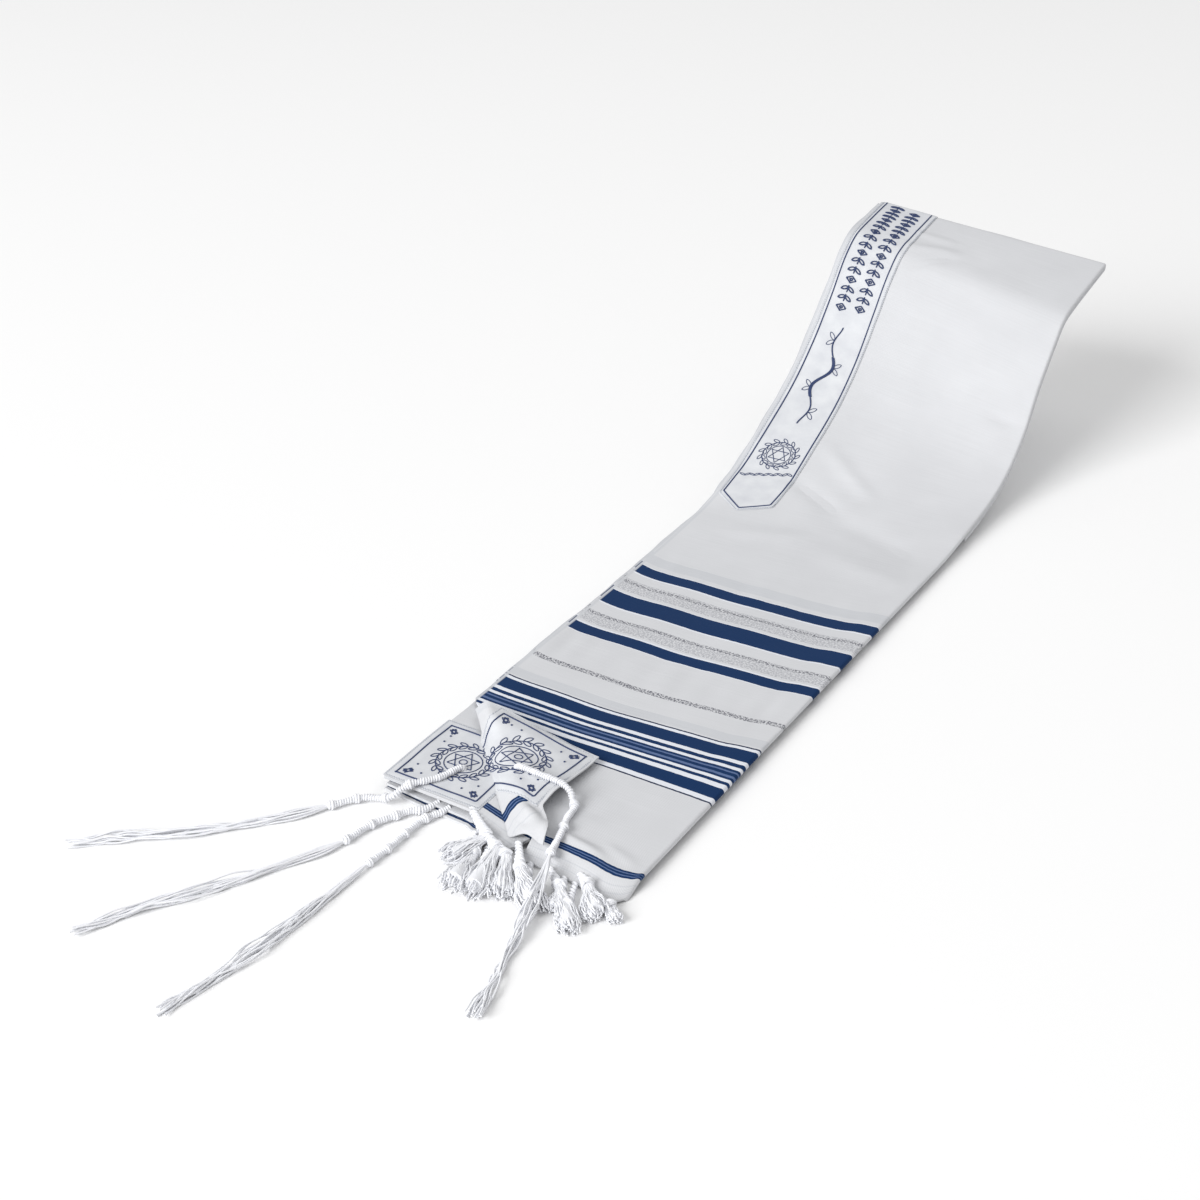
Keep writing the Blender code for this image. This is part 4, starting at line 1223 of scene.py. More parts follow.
def make_winding_tree():
    tree, given, output = new_tree("wound_thread", [
        ("Pitch", "Float", 0.0013), ("Thread Radius", "Float", 0.0005), ("Sides", "Int", 5),
        ("Material", "Material", None),
    ])
    radius = add(tree, "GeometryNodeInputRadius").outputs[0]
    core = sweep(tree, evenly(tree, given["Geometry"], CORE_STEP), 1.0, 10, radius)
    path = evenly(tree, given["Geometry"], maths(tree, "DIVIDE", given["Pitch"], STEPS_A_TURN))
    run = add(tree, "GeometryNodeSplineParameter").outputs["Length"]
    angle = maths(tree, "MULTIPLY", maths(tree, "DIVIDE", run, given["Pitch"]), 2 * math.pi)
    reach = maths(tree, "ADD", radius, maths(tree, "MULTIPLY", given["Thread Radius"], THREAD_BEDDED))
    path = moved(tree, path, beside(tree, angle, reach))
    wound = sweep(tree, path, given["Thread Radius"], given["Sides"])
    joined = tree.nodes.new("GeometryNodeJoinGeometry")
    tree.links.new(core, joined.inputs[0])
    tree.links.new(wound, joined.inputs[0])
    finish_tree(tree, joined.outputs[0], given["Material"], output)
    return tree


# %% Tree: a bundle of loose threads
# The threads fill the bundle's section as seeds fill a sunflower's head. They twist a little along it
# and wander from it, are cut to unequal lengths, and are kept above the floor.
GOLDEN_ANGLE = 2.39996
BUNDLE_TWIST = 0.6
FLOOR_MARGIN = 1.1


def make_bundle_tree():
    tree, given, output = new_tree("loose_threads", [
        ("Count", "Int", 8), ("Points", "Int", 24), ("Thread Radius", "Float", 0.0007), ("Sides", "Int", 5),
        ("Flatness", "Float", 0.5), ("Wave", "Float", 0.002), ("Shorter", "Float", 0.1), ("Seed", "Int", 1),
        ("Material", "Material", None),
    ])
    path = counted(tree, given["Geometry"], given["Points"])
    copies = add(tree, "GeometryNodeDuplicateElements", {0: path, "Amount": given["Count"]}, domain="SPLINE")
    numbered = add(tree, "GeometryNodeStoreNamedAttribute", {
        0: copies.outputs[0], "Name": "order", "Value": copies.outputs[1],
    }, data_type="FLOAT", domain="CURVE").outputs[0]
    number = add(tree, "GeometryNodeInputNamedAttribute", {0: "order"}, data_type="FLOAT").outputs[0]
    chance = add(tree, "FunctionNodeRandomValue", {
        2: 0.0, 3: 1.0, "ID": number, "Seed": given["Seed"],
    }, data_type="FLOAT").outputs[1]
    end = maths(tree, "SUBTRACT", 1.0, maths(tree, "MULTIPLY", chance, given["Shorter"]))
    cut = add(tree, "GeometryNodeTrimCurve", {0: numbered, "End": end}).outputs[0]
    radius = add(tree, "GeometryNodeInputRadius").outputs[0]
    run = add(tree, "GeometryNodeSplineParameter").outputs["Factor"]
    angle = maths(tree, "MULTIPLY", number, GOLDEN_ANGLE)
    angle = maths(tree, "ADD", angle, maths(tree, "MULTIPLY", run, BUNDLE_TWIST))
    filled = maths(tree, "SQRT", maths(tree, "DIVIDE", maths(tree, "ADD", number, 0.6), given["Count"]))
    spread = beside(tree, angle, maths(tree, "MULTIPLY", radius, filled), given["Flatness"])
    where = add(tree, "ShaderNodeCombineXYZ", {
        0: maths(tree, "MULTIPLY", number, 7.31), 1: maths(tree, "MULTIPLY", run, 6.0), 2: given["Seed"],
    }).outputs[0]
    wander = add(tree, "ShaderNodeTexNoise", {"Vector": where, "Scale": 0.8, "Detail": 1.0}).outputs[1]
    centred = {0: wander, 1: (0.5, 0.5, 0.5)}
    wander = add(tree, "ShaderNodeVectorMath", centred, operation="SUBTRACT").outputs[0]
    freedom = maths(tree, "MINIMUM", maths(tree, "MULTIPLY", run, 5.0), 2.0)
    bend = scaled(tree, wander, maths(tree, "MULTIPLY", given["Wave"], freedom))
    laid = moved(tree, cut, together(tree, spread, bend))
    place = add(tree, "GeometryNodeInputPosition").outputs[0]
    parts = add(tree, "ShaderNodeSeparateXYZ", {0: place}).outputs
    floor = maths(tree, "MULTIPLY", given["Thread Radius"], FLOOR_MARGIN)
    up = maths(tree, "MAXIMUM", parts[2], floor)
    place = add(tree, "ShaderNodeCombineXYZ", {0: parts[0], 1: parts[1], 2: up}).outputs[0]
    laid = add(tree, "GeometryNodeSetPosition", {0: laid, "Position": place}).outputs[0]
    grown = sweep(tree, laid, given["Thread Radius"], given["Sides"])
    finish_tree(tree, grown, given["Material"], output)
    return tree


# %% Tree: a plain round body
BODY_POINTS = 14


def make_body_tree():
    tree, given, output = new_tree("round_body", [("Sides", "Int", 10), ("Material", "Material", None)])
    radius = add(tree, "GeometryNodeInputRadius").outputs[0]
    path = counted(tree, given["Geometry"], BODY_POINTS)
    finish_tree(tree, sweep(tree, path, 1.0, given["Sides"], radius), given["Material"], output)
    return tree


winding_tree = make_winding_tree()
bundle_tree = make_bundle_tree()
body_tree = make_body_tree()
print("trees:", winding_tree.name, bundle_tree.name, body_tree.name)

# %% Lines into grown threads


def line_object(name, lines, radii):
    """A curve object with one line of points each, and a radius for every point."""
    curve = bpy.data.curves.new(name, "CURVE")
    curve.dimensions = "3D"
    for points, radius in zip(lines, radii):
        spline = curve.splines.new("POLY")
        spline.points.add(len(points) - 1)
        spline.points.foreach_set("co", np.column_stack([points - ORIGIN, np.ones(len(points))]).ravel())
        spline.points.foreach_set("radius", np.broadcast_to(radius, len(points)).astype(float).ravel())
    made = bpy.data.objects.new(name, curve)
    bpy.context.collection.objects.link(made)
    return made


def grow(name, lines, radii, tree, **inputs):
    """The mesh that a tree grows along these lines."""
    source = line_object(name + "_line", lines, radii)
    modifier = source.modifiers.new(tree.name, "NODES")
    modifier.node_group = tree
    sockets = {socket.name: socket for socket in tree.interface.items_tree if socket.in_out == "INPUT"}
    for key, value in inputs.items():
        modifier[sockets[key.replace("_", " ").title()].identifier] = value
    shown = source.evaluated_get(bpy.context.evaluated_depsgraph_get())
    mesh = bpy.data.meshes.new_from_object(shown)
    bpy.data.objects.remove(source, do_unlink=True)
    mesh.name = name
    return mesh


def join_meshes(name, meshes, material):
    """One object from several meshes of one material."""
    joined = bmesh.new()
    for mesh in meshes:
        joined.from_mesh(mesh)
    for face in joined.faces:
        face.material_index = 0
    made = bpy.data.meshes.new(name)
    joined.to_mesh(made)
    joined.free()
    made.materials.append(material)
    made.shade_smooth()
    piece = bpy.data.objects.new(name, made)
    bpy.context.collection.objects.link(piece)
    return piece


# %% Material: cotton thread
# Twisted cotton: matt, with a fine grain of plies and loose fibres, set by the place on the object.
def make_cotton_thread():
    material, tree, shader = new_material("cotton_thread", 0.85, 0.25)
    shader.inputs["Base Color"].default_value = linear("#F1F2F6")
    place = add(tree, "ShaderNodeTexCoord").outputs["Object"]
    give_relief(tree, shader, noise(tree, place, 900.0, 1.0), 0.5, 0.0003)
    return material


cotton_thread = make_cotton_thread()
print("material:", cotton_thread.name)

# %% [markdown]
# ## The four corner tassels
#
# Each tassel is made of four long threads, passed through a hole in the corner and doubled to eight.
# One thread is longer: it is wound round the others in stretches, with a double knot after each
# stretch, and the eight ends hang loose. Their plies have come apart, so sixteen strands are drawn.
# The routes run over the cloth, down its edge and along the table, and are given point by point. A
# tassel's knots are placed by their share of its wound length.

# %% Routes of the tassels
Tassel = namedtuple("Tassel", "wound knots route")
TZITZIT = {
    "tzitzit_1": Tassel(
        wound=0.118,
        knots=(0.42, 0.60, 0.80, 0.97),
        route=(
            (0.046, 0.053, 0.0125), (0.0445, 0.049, 0.0154), (0.039, 0.031, 0.0156), (0.033, 0.021, 0.0160),
            (0.0265, 0.0125, 0.0165), (0.0205, 0.005, 0.0134), (0.0165, -0.0005, 0.009),
            (0.0085, -0.003, 0.0056), (-0.003, -0.006, 0.0042), (-0.022, -0.029, 0.0040),
            (-0.041, -0.054, 0.0034), (-0.071, -0.088, 0.0032), (-0.098, -0.113, 0.0032),
            (-0.127, -0.135, 0.0032), (-0.149, -0.155, 0.0032), (-0.163, -0.168, 0.0032),
        ),
    ),
    "tzitzit_2": Tassel(
        wound=0.087,
        knots=(0.20, 0.42, 0.66, 0.96),
        route=(
            (0.048, 0.0150, 0.0046), (0.045, 0.0063, 0.0042), (0.041, 0.000, 0.0041),
            (0.034, -0.006, 0.0041), (0.029, -0.015, 0.0041), (0.019, -0.035, 0.0040),
            (0.014, -0.061, 0.0038), (-0.001, -0.095, 0.0034), (-0.019, -0.130, 0.0032),
            (-0.039, -0.163, 0.0032), (-0.059, -0.195, 0.0032), (-0.080, -0.234, 0.0032),
            (-0.087, -0.247, 0.0032),
        ),
    ),
    "tzitzit_3": Tassel(
        wound=0.093,
        knots=(0.24, 0.50, 0.74, 0.96),
        route=(
            (0.059, 0.0130, 0.0046), (0.056, 0.0048, 0.0041), (0.052, -0.003, 0.0040),
            (0.049, -0.012, 0.0040), (0.048, -0.024, 0.0040), (0.048, -0.048, 0.0040),
            (0.046, -0.074, 0.0038), (0.044, -0.108, 0.0034), (0.040, -0.151, 0.0032),
            (0.037, -0.192, 0.0032), (0.031, -0.240, 0.0032), (0.024, -0.273, 0.0032),
            (0.021, -0.287, 0.0032),
        ),
    ),
    "tzitzit_4": Tassel(
        wound=0.128,
        knots=(0.50, 0.74, 0.97),
        route=(
            (0.089, 0.060, 0.0243), (0.094, 0.059, 0.0272), (0.109, 0.057, 0.0278), (0.119, 0.056, 0.0278),
            (0.130, 0.056, 0.0270), (0.136, 0.055, 0.0255), (0.141, 0.054, 0.0222), (0.1435, 0.052, 0.0180),
            (0.148, 0.047, 0.0156), (0.151, 0.031, 0.0161), (0.156, 0.016, 0.0162), (0.159, 0.0015, 0.0140),
            (0.161, -0.008, 0.0135), (0.166, -0.0205, 0.0145), (0.1740, -0.0465, 0.0120),
            (0.182, -0.079, 0.0070), (0.192, -0.121, 0.0034), (0.203, -0.169, 0.0032),
            (0.207, -0.184, 0.0032),
        ),
    ),
}

CORE_RADIUS = 0.0020
KNOT_RADIUS = 0.0034
KNOT_LENGTH = 0.0024


def smooth_route(points, count):
    """Evenly spaced points on a smooth curve through these, and the curve's length."""
    points = np.asarray(points, float)
    reach = np.concatenate([[0.0], np.cumsum(np.linalg.norm(np.diff(points, axis=0), axis=1))])
    curves = [smooth_curve(reach, points[:, axis]) for axis in range(3)]
    where = np.linspace(0.0, reach[-1], count)
    return np.stack([curve(where) for curve in curves], -1), reach[-1]


# %% Build the tassels
ROUTE_POINTS = 600
# The loose ends start a little inside the wound stretch. They spread by this radius, which swells and
# shrinks along them by the next number, and never under the last.
TAIL_OVERLAP = 0.002
TAIL_RADIUS = 0.0044
TAIL_SWELL = 0.0022
TAIL_LEAST = 0.0026


def make_tassel(number, name, row):
    route, length = smooth_route(row.route, ROUTE_POINTS)
    run = np.linspace(0, length, ROUTE_POINTS)
    head = route[run <= row.wound]
    tail = route[run >= row.wound - TAIL_OVERLAP]
    share = run[run <= row.wound] / row.wound
    thick = [np.exp(-(((share - place) * row.wound) / KNOT_LENGTH) ** 2) for place in row.knots]
    lumps = 0.08 * np.sin(share * row.wound * 520 + number) + 0.05 * np.sin(share * row.wound * 1010)
    radius = mix(CORE_RADIUS, KNOT_RADIUS, np.max(thick, axis=0)) * (1 + lumps)
    winding = grow(
        f"{name}_winding", [head], [radius], winding_tree, pitch=0.0021, thread_radius=0.00066,
        material=cotton_thread,
    )
    turn = 10.0 * np.linspace(0, 1, len(tail)) + number
    spread = np.clip(TAIL_RADIUS + TAIL_SWELL * np.sin(turn), TAIL_LEAST, None)
    spread = spread * ease(np.linspace(0.25, 6, len(tail)))
    loose = grow(
        f"{name}_loose", [tail], [spread], bundle_tree, count=16, points=70, thread_radius=0.00068,
        wave=0.0065, shorter=0.05, seed=number, material=cotton_thread,
    )
    tassel = join_meshes(f"corner_tassel_{number}", [winding, loose], cotton_thread)
    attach(tassel, "root")
    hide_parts(name)
    return tassel


tassels = [make_tassel(number, name, row) for number, (name, row) in enumerate(TZITZIT.items(), 1)]
print("tassels:", [len(tassel.data.polygons) for tassel in tassels])

# %% [markdown]
# ## The fringe
#
# The cut ends of the warp are not trimmed off: groups of them are twisted into thick cords and knotted,
# and beyond the knot the yarn opens into a soft brush. Groups lie where they fell, so each has its own
# root, knot and tip in a table, and a number for how thick its cord is and how wide its brush flares.
# Where they lie over one another, two of them stand in the place of one solid.

# %% Table of the fringe
Fringe = namedtuple("Fringe", "group thick flare root knot tip")
FRINGES = [Fringe(*row) for row in (
    (1, 1.15, 0.006, (0.0918, -0.0023, 0.0025), (0.0969, -0.0191, 0.0039), (0.090, -0.038, 0.0036)),
    (2, 1.15, 0.010, (0.1003, -0.0068, 0.0028), (0.1072, -0.0287, 0.0043), (0.114, -0.069, 0.0040)),
    (3, 1.15, 0.007, (0.1075, -0.0107, 0.0026), (0.1213, -0.0324, 0.0040), (0.136, -0.060, 0.0036)),
    (4, 1.15, 0.006, (0.1134, -0.0138, 0.0030), (0.1367, -0.0306, 0.0042), (0.154, -0.058, 0.0036)),
    (5, 1.15, 0.004, (0.1481, -0.0152, 0.0030), (0.1541, -0.0326, 0.0044), (0.158, -0.044, 0.0038)),
    (6, 1.15, 0.006, (0.1785, -0.0182, 0.0030), (0.1842, -0.0345, 0.0042), (0.191, -0.056, 0.0036)),
    (7, 1.15, 0.007, (0.1885, -0.0202, 0.0030), (0.1992, -0.0488, 0.0044), (0.210, -0.071, 0.0040)),
    (8, 1.15, 0.006, (0.2006, -0.0248, 0.0030), (0.2083, -0.0363, 0.0042), (0.221, -0.051, 0.0036)),
    (9, 1.15, 0.005, (0.2154, -0.0279, 0.0030), (0.2257, -0.0325, 0.0040), (0.236, -0.044, 0.0034)),
    (1, 2.0, 0.009, (0.0775, 0.0150, 0.0085), (0.1070, -0.0100, 0.0090), (0.0918, -0.0419, 0.0050)),
    (2, 1.7, 0.010, (0.1026, -0.0072, 0.0100), (0.1210, -0.0184, 0.0090), (0.1309, -0.0700, 0.0050)),
    (4, 1.4, 0.007, (0.1111, -0.0082, 0.0060), (0.1319, -0.0220, 0.0080), (0.1488, -0.0610, 0.0050)),
    (5, 1.8, 0.010, (0.1300, -0.0030, 0.0070), (0.1500, -0.0331, 0.0090), (0.1797, -0.0622, 0.0050)),
    (6, 1.3, 0.008, (0.1640, -0.0150, 0.0045), (0.1835, -0.0337, 0.0065), (0.2135, -0.0693, 0.0040)),
    (8, 1.4, 0.009, (0.1873, -0.0110, 0.0045), (0.2015, -0.0232, 0.0080), (0.2229, -0.0478, 0.0050)),
)]
# A cord and its knot where the table says 1. A knot grows with its cord as far as KNOT_THICKEST.
CORD_RADIUS = 0.0019
CORD_KNOT_RADIUS = 0.0043
KNOT_THICKEST = 1.4
# Points along the cord and the brush, and how many of them the brush's plain heart stops short.
NECK_POINTS = 60
BRUSH_POINTS = 40
HEART_SHORTER = 8


# %% Build the fringe
def above_table(points, radius):
    """The points, lifted where a thread of this radius would sink into the table."""
    points = points.copy()
    points[:, 2] = np.maximum(points[:, 2], radius + 0.0006)
    return points


def make_fringe(number, row):
    name = f"fringe_{row.group}"
    root, knot, tip = (np.array(place) for place in (row.root, row.knot, row.tip))
    twisted, length = smooth_route((root, mix(root, knot, 0.5), knot), NECK_POINTS)
    from_root = np.linspace(0, 1, NECK_POINTS)
    from_knot = (1 - from_root) * length
    bump = np.exp(-((from_knot - 0.002) / 0.0034) ** 2) + 0.3 * np.exp(-((from_knot - 0.011) / 0.003) ** 2)
    cord = CORD_RADIUS * row.thick * mix(0.6, 1.0, ease(from_root))
    radius = cord + (CORD_KNOT_RADIUS * min(row.thick, KNOT_THICKEST) - cord) * bump
    neck = grow(
        f"{name}_neck", [above_table(twisted, radius)], [radius * 0.8], winding_tree, pitch=0.0046,
        thread_radius=0.0011, sides=7, material=cotton_thread,
    )
    brush, _ = smooth_route((knot, mix(knot, tip, 0.5), tip + (tip - knot) * 0.10), BRUSH_POINTS)
    share = np.linspace(0, 1, BRUSH_POINTS)
    flare = mix(0.0030 * row.thick ** 0.5, row.flare * 1.2, ease(share * 1.3))
    flare = flare * (1 - 0.25 * ease((share - 0.8) / 0.2))
    yarn = grow(
        f"{name}_yarn", [above_table(brush, flare * 0.35)], [flare], bundle_tree, count=84, points=14,
        thread_radius=0.00062, sides=4, flatness=0.60, wave=0.0026, shorter=0.34, seed=number,
        material=cotton_thread,
    )
    middle = brush[:-HEART_SHORTER]
    width = flare[:-HEART_SHORTER]
    heart = grow(
        f"{name}_heart", [above_table(middle, width * 0.5)], [width * 0.56], body_tree,
        material=cotton_thread,
    )
    fringe = join_meshes(f"{name}_group_{number}", [neck, yarn, heart], cotton_thread)
    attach(fringe, "root")
    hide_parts(name)
    return fringe


fringes = [make_fringe(number, row) for number, row in enumerate(FRINGES, 1)]
print("fringe groups:", len(fringes))

# %% [markdown]
# ## Embroidery
#
# The patches and the neckband are machine embroidered in navy: a border line, small knots, and a motif.
# The design here is a plain one of its own, a ring of leaves round a six-pointed star. It is drawn as
# lines in the ribbon's flat measure, laid on the ribbon's face, and sewn by a tree that sets one
# slanting stitch after another along each line.

# %% Tree: stitches along a line
# A stitch is thin where it goes into the ribbon and plump in its middle.
STITCH_END = 0.42
STITCH_SWELL = 2.6


def make_stitch_tree():
    tree, given, output = new_tree("stitched_line", [
        ("Stitch Length", "Float", 0.0016), ("Spacing", "Float", 0.0011), ("Thread Radius", "Float", 0.0003),
        ("Slant", "Float", 0.25), ("Material", "Material", None),
    ])
    half = maths(tree, "MULTIPLY", given["Stitch Length"], 0.5)
    start = add(tree, "ShaderNodeCombineXYZ", {0: maths(tree, "MULTIPLY", half, -1.0)}).outputs[0]
    end = add(tree, "ShaderNodeCombineXYZ", {0: half}).outputs[0]
    line = add(tree, "GeometryNodeCurvePrimitiveLine", {"Start": start, "End": end}).outputs[0]
    line = counted(tree, line, 4)
    share = add(tree, "GeometryNodeSplineParameter").outputs["Factor"]
    plump = maths(tree, "MULTIPLY", maths(tree, "SUBTRACT", 1.0, share), share)
    plump = maths(tree, "ADD", maths(tree, "MULTIPLY", plump, STITCH_SWELL), STITCH_END)
    stitch = sweep(tree, line, given["Thread Radius"], 5, plump)
    path = evenly(tree, given["Geometry"], given["Spacing"])
    tangent = add(tree, "GeometryNodeInputTangent").outputs[0]
    turned = add(tree, "FunctionNodeAlignRotationToVector", {"Vector": tangent}, axis="X").outputs[0]
    slant = add(tree, "ShaderNodeCombineXYZ", {2: given["Slant"]}).outputs[0]
    turned = add(tree, "FunctionNodeRotateRotation", {0: turned, 1: slant}, rotation_space="LOCAL").outputs[0]
    places = {"Points": path, "Instance": stitch, "Rotation": turned}
    sewn = add(tree, "GeometryNodeInstanceOnPoints", places).outputs[0]
    finish_tree(tree, sewn, given["Material"], output)
    return tree


stitch_tree = make_stitch_tree()
print("tree:", stitch_tree.name)


# %% Material: embroidery thread
# Rayon embroidery thread: smooth and a little shiny. The edges are sewn in a pale grey one.
def make_thread_material(name, colour, roughness):
    material, tree, shader = new_material(name, roughness, 0.1)
    shader.inputs["Base Color"].default_value = linear(colour)
    place = add(tree, "ShaderNodeTexCoord").outputs["Object"]
    give_relief(tree, shader, noise(tree, place, 2500.0, 1.0), 0.3, 0.0001)
    return material


navy_thread = make_thread_material("navy_embroidery_thread", "#1C3260", 0.45)
grey_thread = make_thread_material("grey_sewing_thread", "#B4B8C0", 0.6)
print("threads:", navy_thread.name, grey_thread.name)

# %% Lines of the design, in a flat measure
FINE_STEP = 0.0008


def resampled(points, step=0.0012):
    """A line's points at an even, close spacing."""
    points = np.asarray(points, float)
    reach = np.concatenate([[0.0], np.cumsum(np.linalg.norm(np.diff(points, axis=0), axis=1))])
    where = np.linspace(0, reach[-1], max(int(reach[-1] / step) + 1, 3))
    return np.stack([np.interp(where, reach, points[:, k]) for k in range(points.shape[1])], -1)


def leaf(centre, heading, length, width):
    """A leaf's outline, pointed at both ends."""
    along = np.linspace(0, math.pi, 12)
    upper = np.stack([-np.cos(along) * length / 2, np.sin(along) ** 1.3 * width / 2], -1)
    outline = np.concatenate([upper, upper[::-1] * (1, -1)])
    turn = np.array([[math.cos(heading), math.sin(heading)], [-math.sin(heading), math.cos(heading)]])
    return outline @ turn + centre


def star(centre, radius):
    """A six-pointed star, as two triangles laid over each other."""
    lines = []
    for first in (math.pi / 2, math.pi / 2 + math.pi / 3):
        angles = first + np.arange(4) * 2 * math.pi / 3
        lines.append(np.stack([np.cos(angles), np.sin(angles)], -1) * radius + centre)
    return lines


def circle(centre, radius, count=40):
    angles = np.linspace(0, 2 * math.pi, count)
    return np.stack([np.cos(angles), np.sin(angles)], -1) * radius + centre


def leaf_ring(centre, radius, count, length, width, tilt):
    """Leaves in pairs along a ring, one leaning in and one leaning out."""
    lines = [circle(centre, radius)]
    for k in range(count):
        angle = 2 * math.pi * k / count
        for lean in (-tilt, tilt):
            heading = angle + math.pi / 2 + lean
            foot = np.array([math.cos(angle), math.sin(angle)]) * radius
            reach = np.array([math.cos(heading), math.sin(heading)]) * length * 0.55
            lines.append(leaf(centre + foot + reach, heading, length, width))
    return lines


def kept_runs(line, inside):
    """The stretches of a line whose points are kept."""
    keep = inside(line[:, 0], line[:, 1])
    edges = np.flatnonzero(np.diff(keep.astype(int))) + 1
    return [run for run in np.split(line, edges) if inside(run[:1, 0], run[:1, 1])[0] and len(run) > 3]


# %% Embroider the patches
MOTIF_CENTRE = np.array([0.0405, 0.0600])
MOTIF_CLEAR = 0.032
BORDER_INSET = 0.0072
DOT_INSET = 0.0155
DOT_STEP = 0.0092
DOT_RADIUS = 0.0010
# How far above a ribbon's face the middle of a stitch, or of a knot, lies.
STITCH_LIFT = 0.00012
THREAD_LIFT = 0.00010
Stitching = namedtuple("Stitching", "label length radius")
PATCH_STITCHES = (Stitching("border", 0.0022, 0.00072), Stitching("motif", 0.0014, 0.00048))


def patch_design(fold):
    """Border, leaf ring, star and corner sprigs of a patch, cut off at the fold."""
    left = PATCH_LEFT_SIDE + BORDER_INSET
    right = PATCH_RIGHT_SIDE - BORDER_INSET
    near = PATCH_NEAR + BORDER_INSET
    far = PATCH_FAR - BORDER_INSET
    border = np.array([(left, near), (right, near), (right, far), (left, far), (left, near)])
    motif = leaf_ring(MOTIF_CENTRE, radius=0.0215, count=16, length=0.0075, width=0.0032, tilt=0.55)
    motif += [circle(MOTIF_CENTRE, 0.0150), circle(MOTIF_CENTRE, 0.0032, 14)] + star(MOTIF_CENTRE, 0.0128)
    for across, along, heading in ((left, near, 0.785), (right, near, 2.356), (left, far, -0.785)):
        way = np.array([math.cos(heading), math.sin(heading)])
        foot = np.array([across, along]) + way * 0.0095
        motif += [leaf(foot, heading + lean, length=0.0075, width=0.0028) for lean in (-0.6, 0.0, 0.6)]

    def inside(across, along):
        return along < fold(across) - 0.0012

    fine = [run for line in motif for run in kept_runs(resampled(line, FINE_STEP), inside)]
    return kept_runs(resampled(border), inside), fine


def dots_of(fold):
    """Places of the small knots: in rows inside the border, 9 mm apart, with none on the motif."""
    places = []
    for across in np.arange(PATCH_LEFT_SIDE + DOT_INSET, PATCH_RIGHT_SIDE - 0.012, DOT_STEP):
        for along in np.arange(PATCH_NEAR + DOT_INSET, PATCH_FAR - 0.012, DOT_STEP):
            away = math.hypot(across - MOTIF_CENTRE[0], along - MOTIF_CENTRE[1])
            if away > MOTIF_CLEAR and along < fold(across) - 0.004:
                places.append((across, along))
    return np.array(places)


def raised_dots(name, places):
    """Small round knots of thread at these places."""
    joined = bmesh.new()
    for place in places:
        spot = Matrix.Translation((place - ORIGIN).tolist())
        bmesh.ops.create_icosphere(joined, subdivisions=1, radius=DOT_RADIUS, matrix=spot)
    mesh = bpy.data.meshes.new(name)
    joined.to_mesh(mesh)
    joined.free()
    mesh.materials.append(navy_thread)
    return mesh


def stitched(name, kind, laid, spacing):
    """Navy stitches along these lines. Their spacing is given as a share of their length."""
    return grow(
        f"{name}_{kind.label}", laid, [1.0] * len(laid), stitch_tree, stitch_length=kind.length,
        spacing=kind.length * spacing, thread_radius=kind.radius, material=navy_thread,
    )


def embroider_patch(name, place, fold, node):
    meshes = []
    for kind, lines in zip(PATCH_STITCHES, patch_design(fold)):
        laid = [patch_face(place, line[:, 0], line[:, 1], STITCH_LIFT) for line in lines]
        meshes.append(stitched(name, kind, laid, spacing=0.7))
    dots = dots_of(fold)
    meshes.append(raised_dots(f"{name}_knots", patch_face(place, dots[:, 0], dots[:, 1], THREAD_LIFT)))
    work = join_meshes(name, meshes, navy_thread)
    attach(work, "root")
    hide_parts(node)
    return work


left_work = embroider_patch("left_embroidery", flat_point, lambda x: fold_along(x) + 0.001, "patch_left")
right_work = embroider_patch("right_embroidery", turned_point, turned_fold, "patch_right")
print("stitched polygons:", len(left_work.data.polygons), len(right_work.data.polygons))

# %% [markdown]
# The neckband has the same border along both sides and round its pointed end. Above a bare space at the
# point lie a ring of leaves with a star, then a vine, and then two rows of lozenges and leaf pairs,
# which fill the place where many shawls have a text. The rows run on as far as the cross fold.

# %% Lines of the neckband
MARKS_START = 0.8080
MARK_STEP = 0.0098


def vine(start, end, middle, height, waves):
    """A waving stem with a pair of leaves at each bend."""
    along = np.linspace(start, end, 160)
    phase = (along - start) / (end - start) * waves * 2 * math.pi
    swell = np.sin((along - start) / (end - start) * math.pi) ** 0.6
    stem = np.stack([middle + height * swell * np.sin(phase), along], -1)
    lines = []
    for k in range(int(waves * 2)):
        at = start + (end - start) * (k + 0.5) / (waves * 2)
        side = -1 if k % 2 else 1
        foot = np.array([np.interp(at, stem[:, 1], stem[:, 0]), at])
        for lean in (0.75, -0.75):
            heading = lean if side > 0 else math.pi - lean
            way = np.array([math.cos(heading), math.sin(heading)])
            lines.append(leaf(foot + way * 0.0048, heading, length=0.0085, width=0.0036))
    return stem, lines


def mark_row(middle, start, end, step, shift):
    """Lozenges and leaf pairs by turns, which stand across the band."""
    lines = []
    for k, at in enumerate(np.arange(start + shift, end, step)):
        if k % 3 == 0:
            size = np.array([0.0052, 0.0034])
            ring = np.array([(0, -1), (1, 0), (0, 1), (-1, 0), (0, -1)]) * size
            lines += [ring + (middle, at), ring * 0.35 + (middle, at)]
        else:
            for side, heading in ((-1, 0.5), (1, math.pi - 0.5)):
                foot = np.array([middle + side * 0.0034, at])
                lines.append(leaf(foot, heading, length=0.0072, width=0.0030))
            lines.append(np.array([(middle, at - 0.0030), (middle, at + 0.0030)]))
    return lines


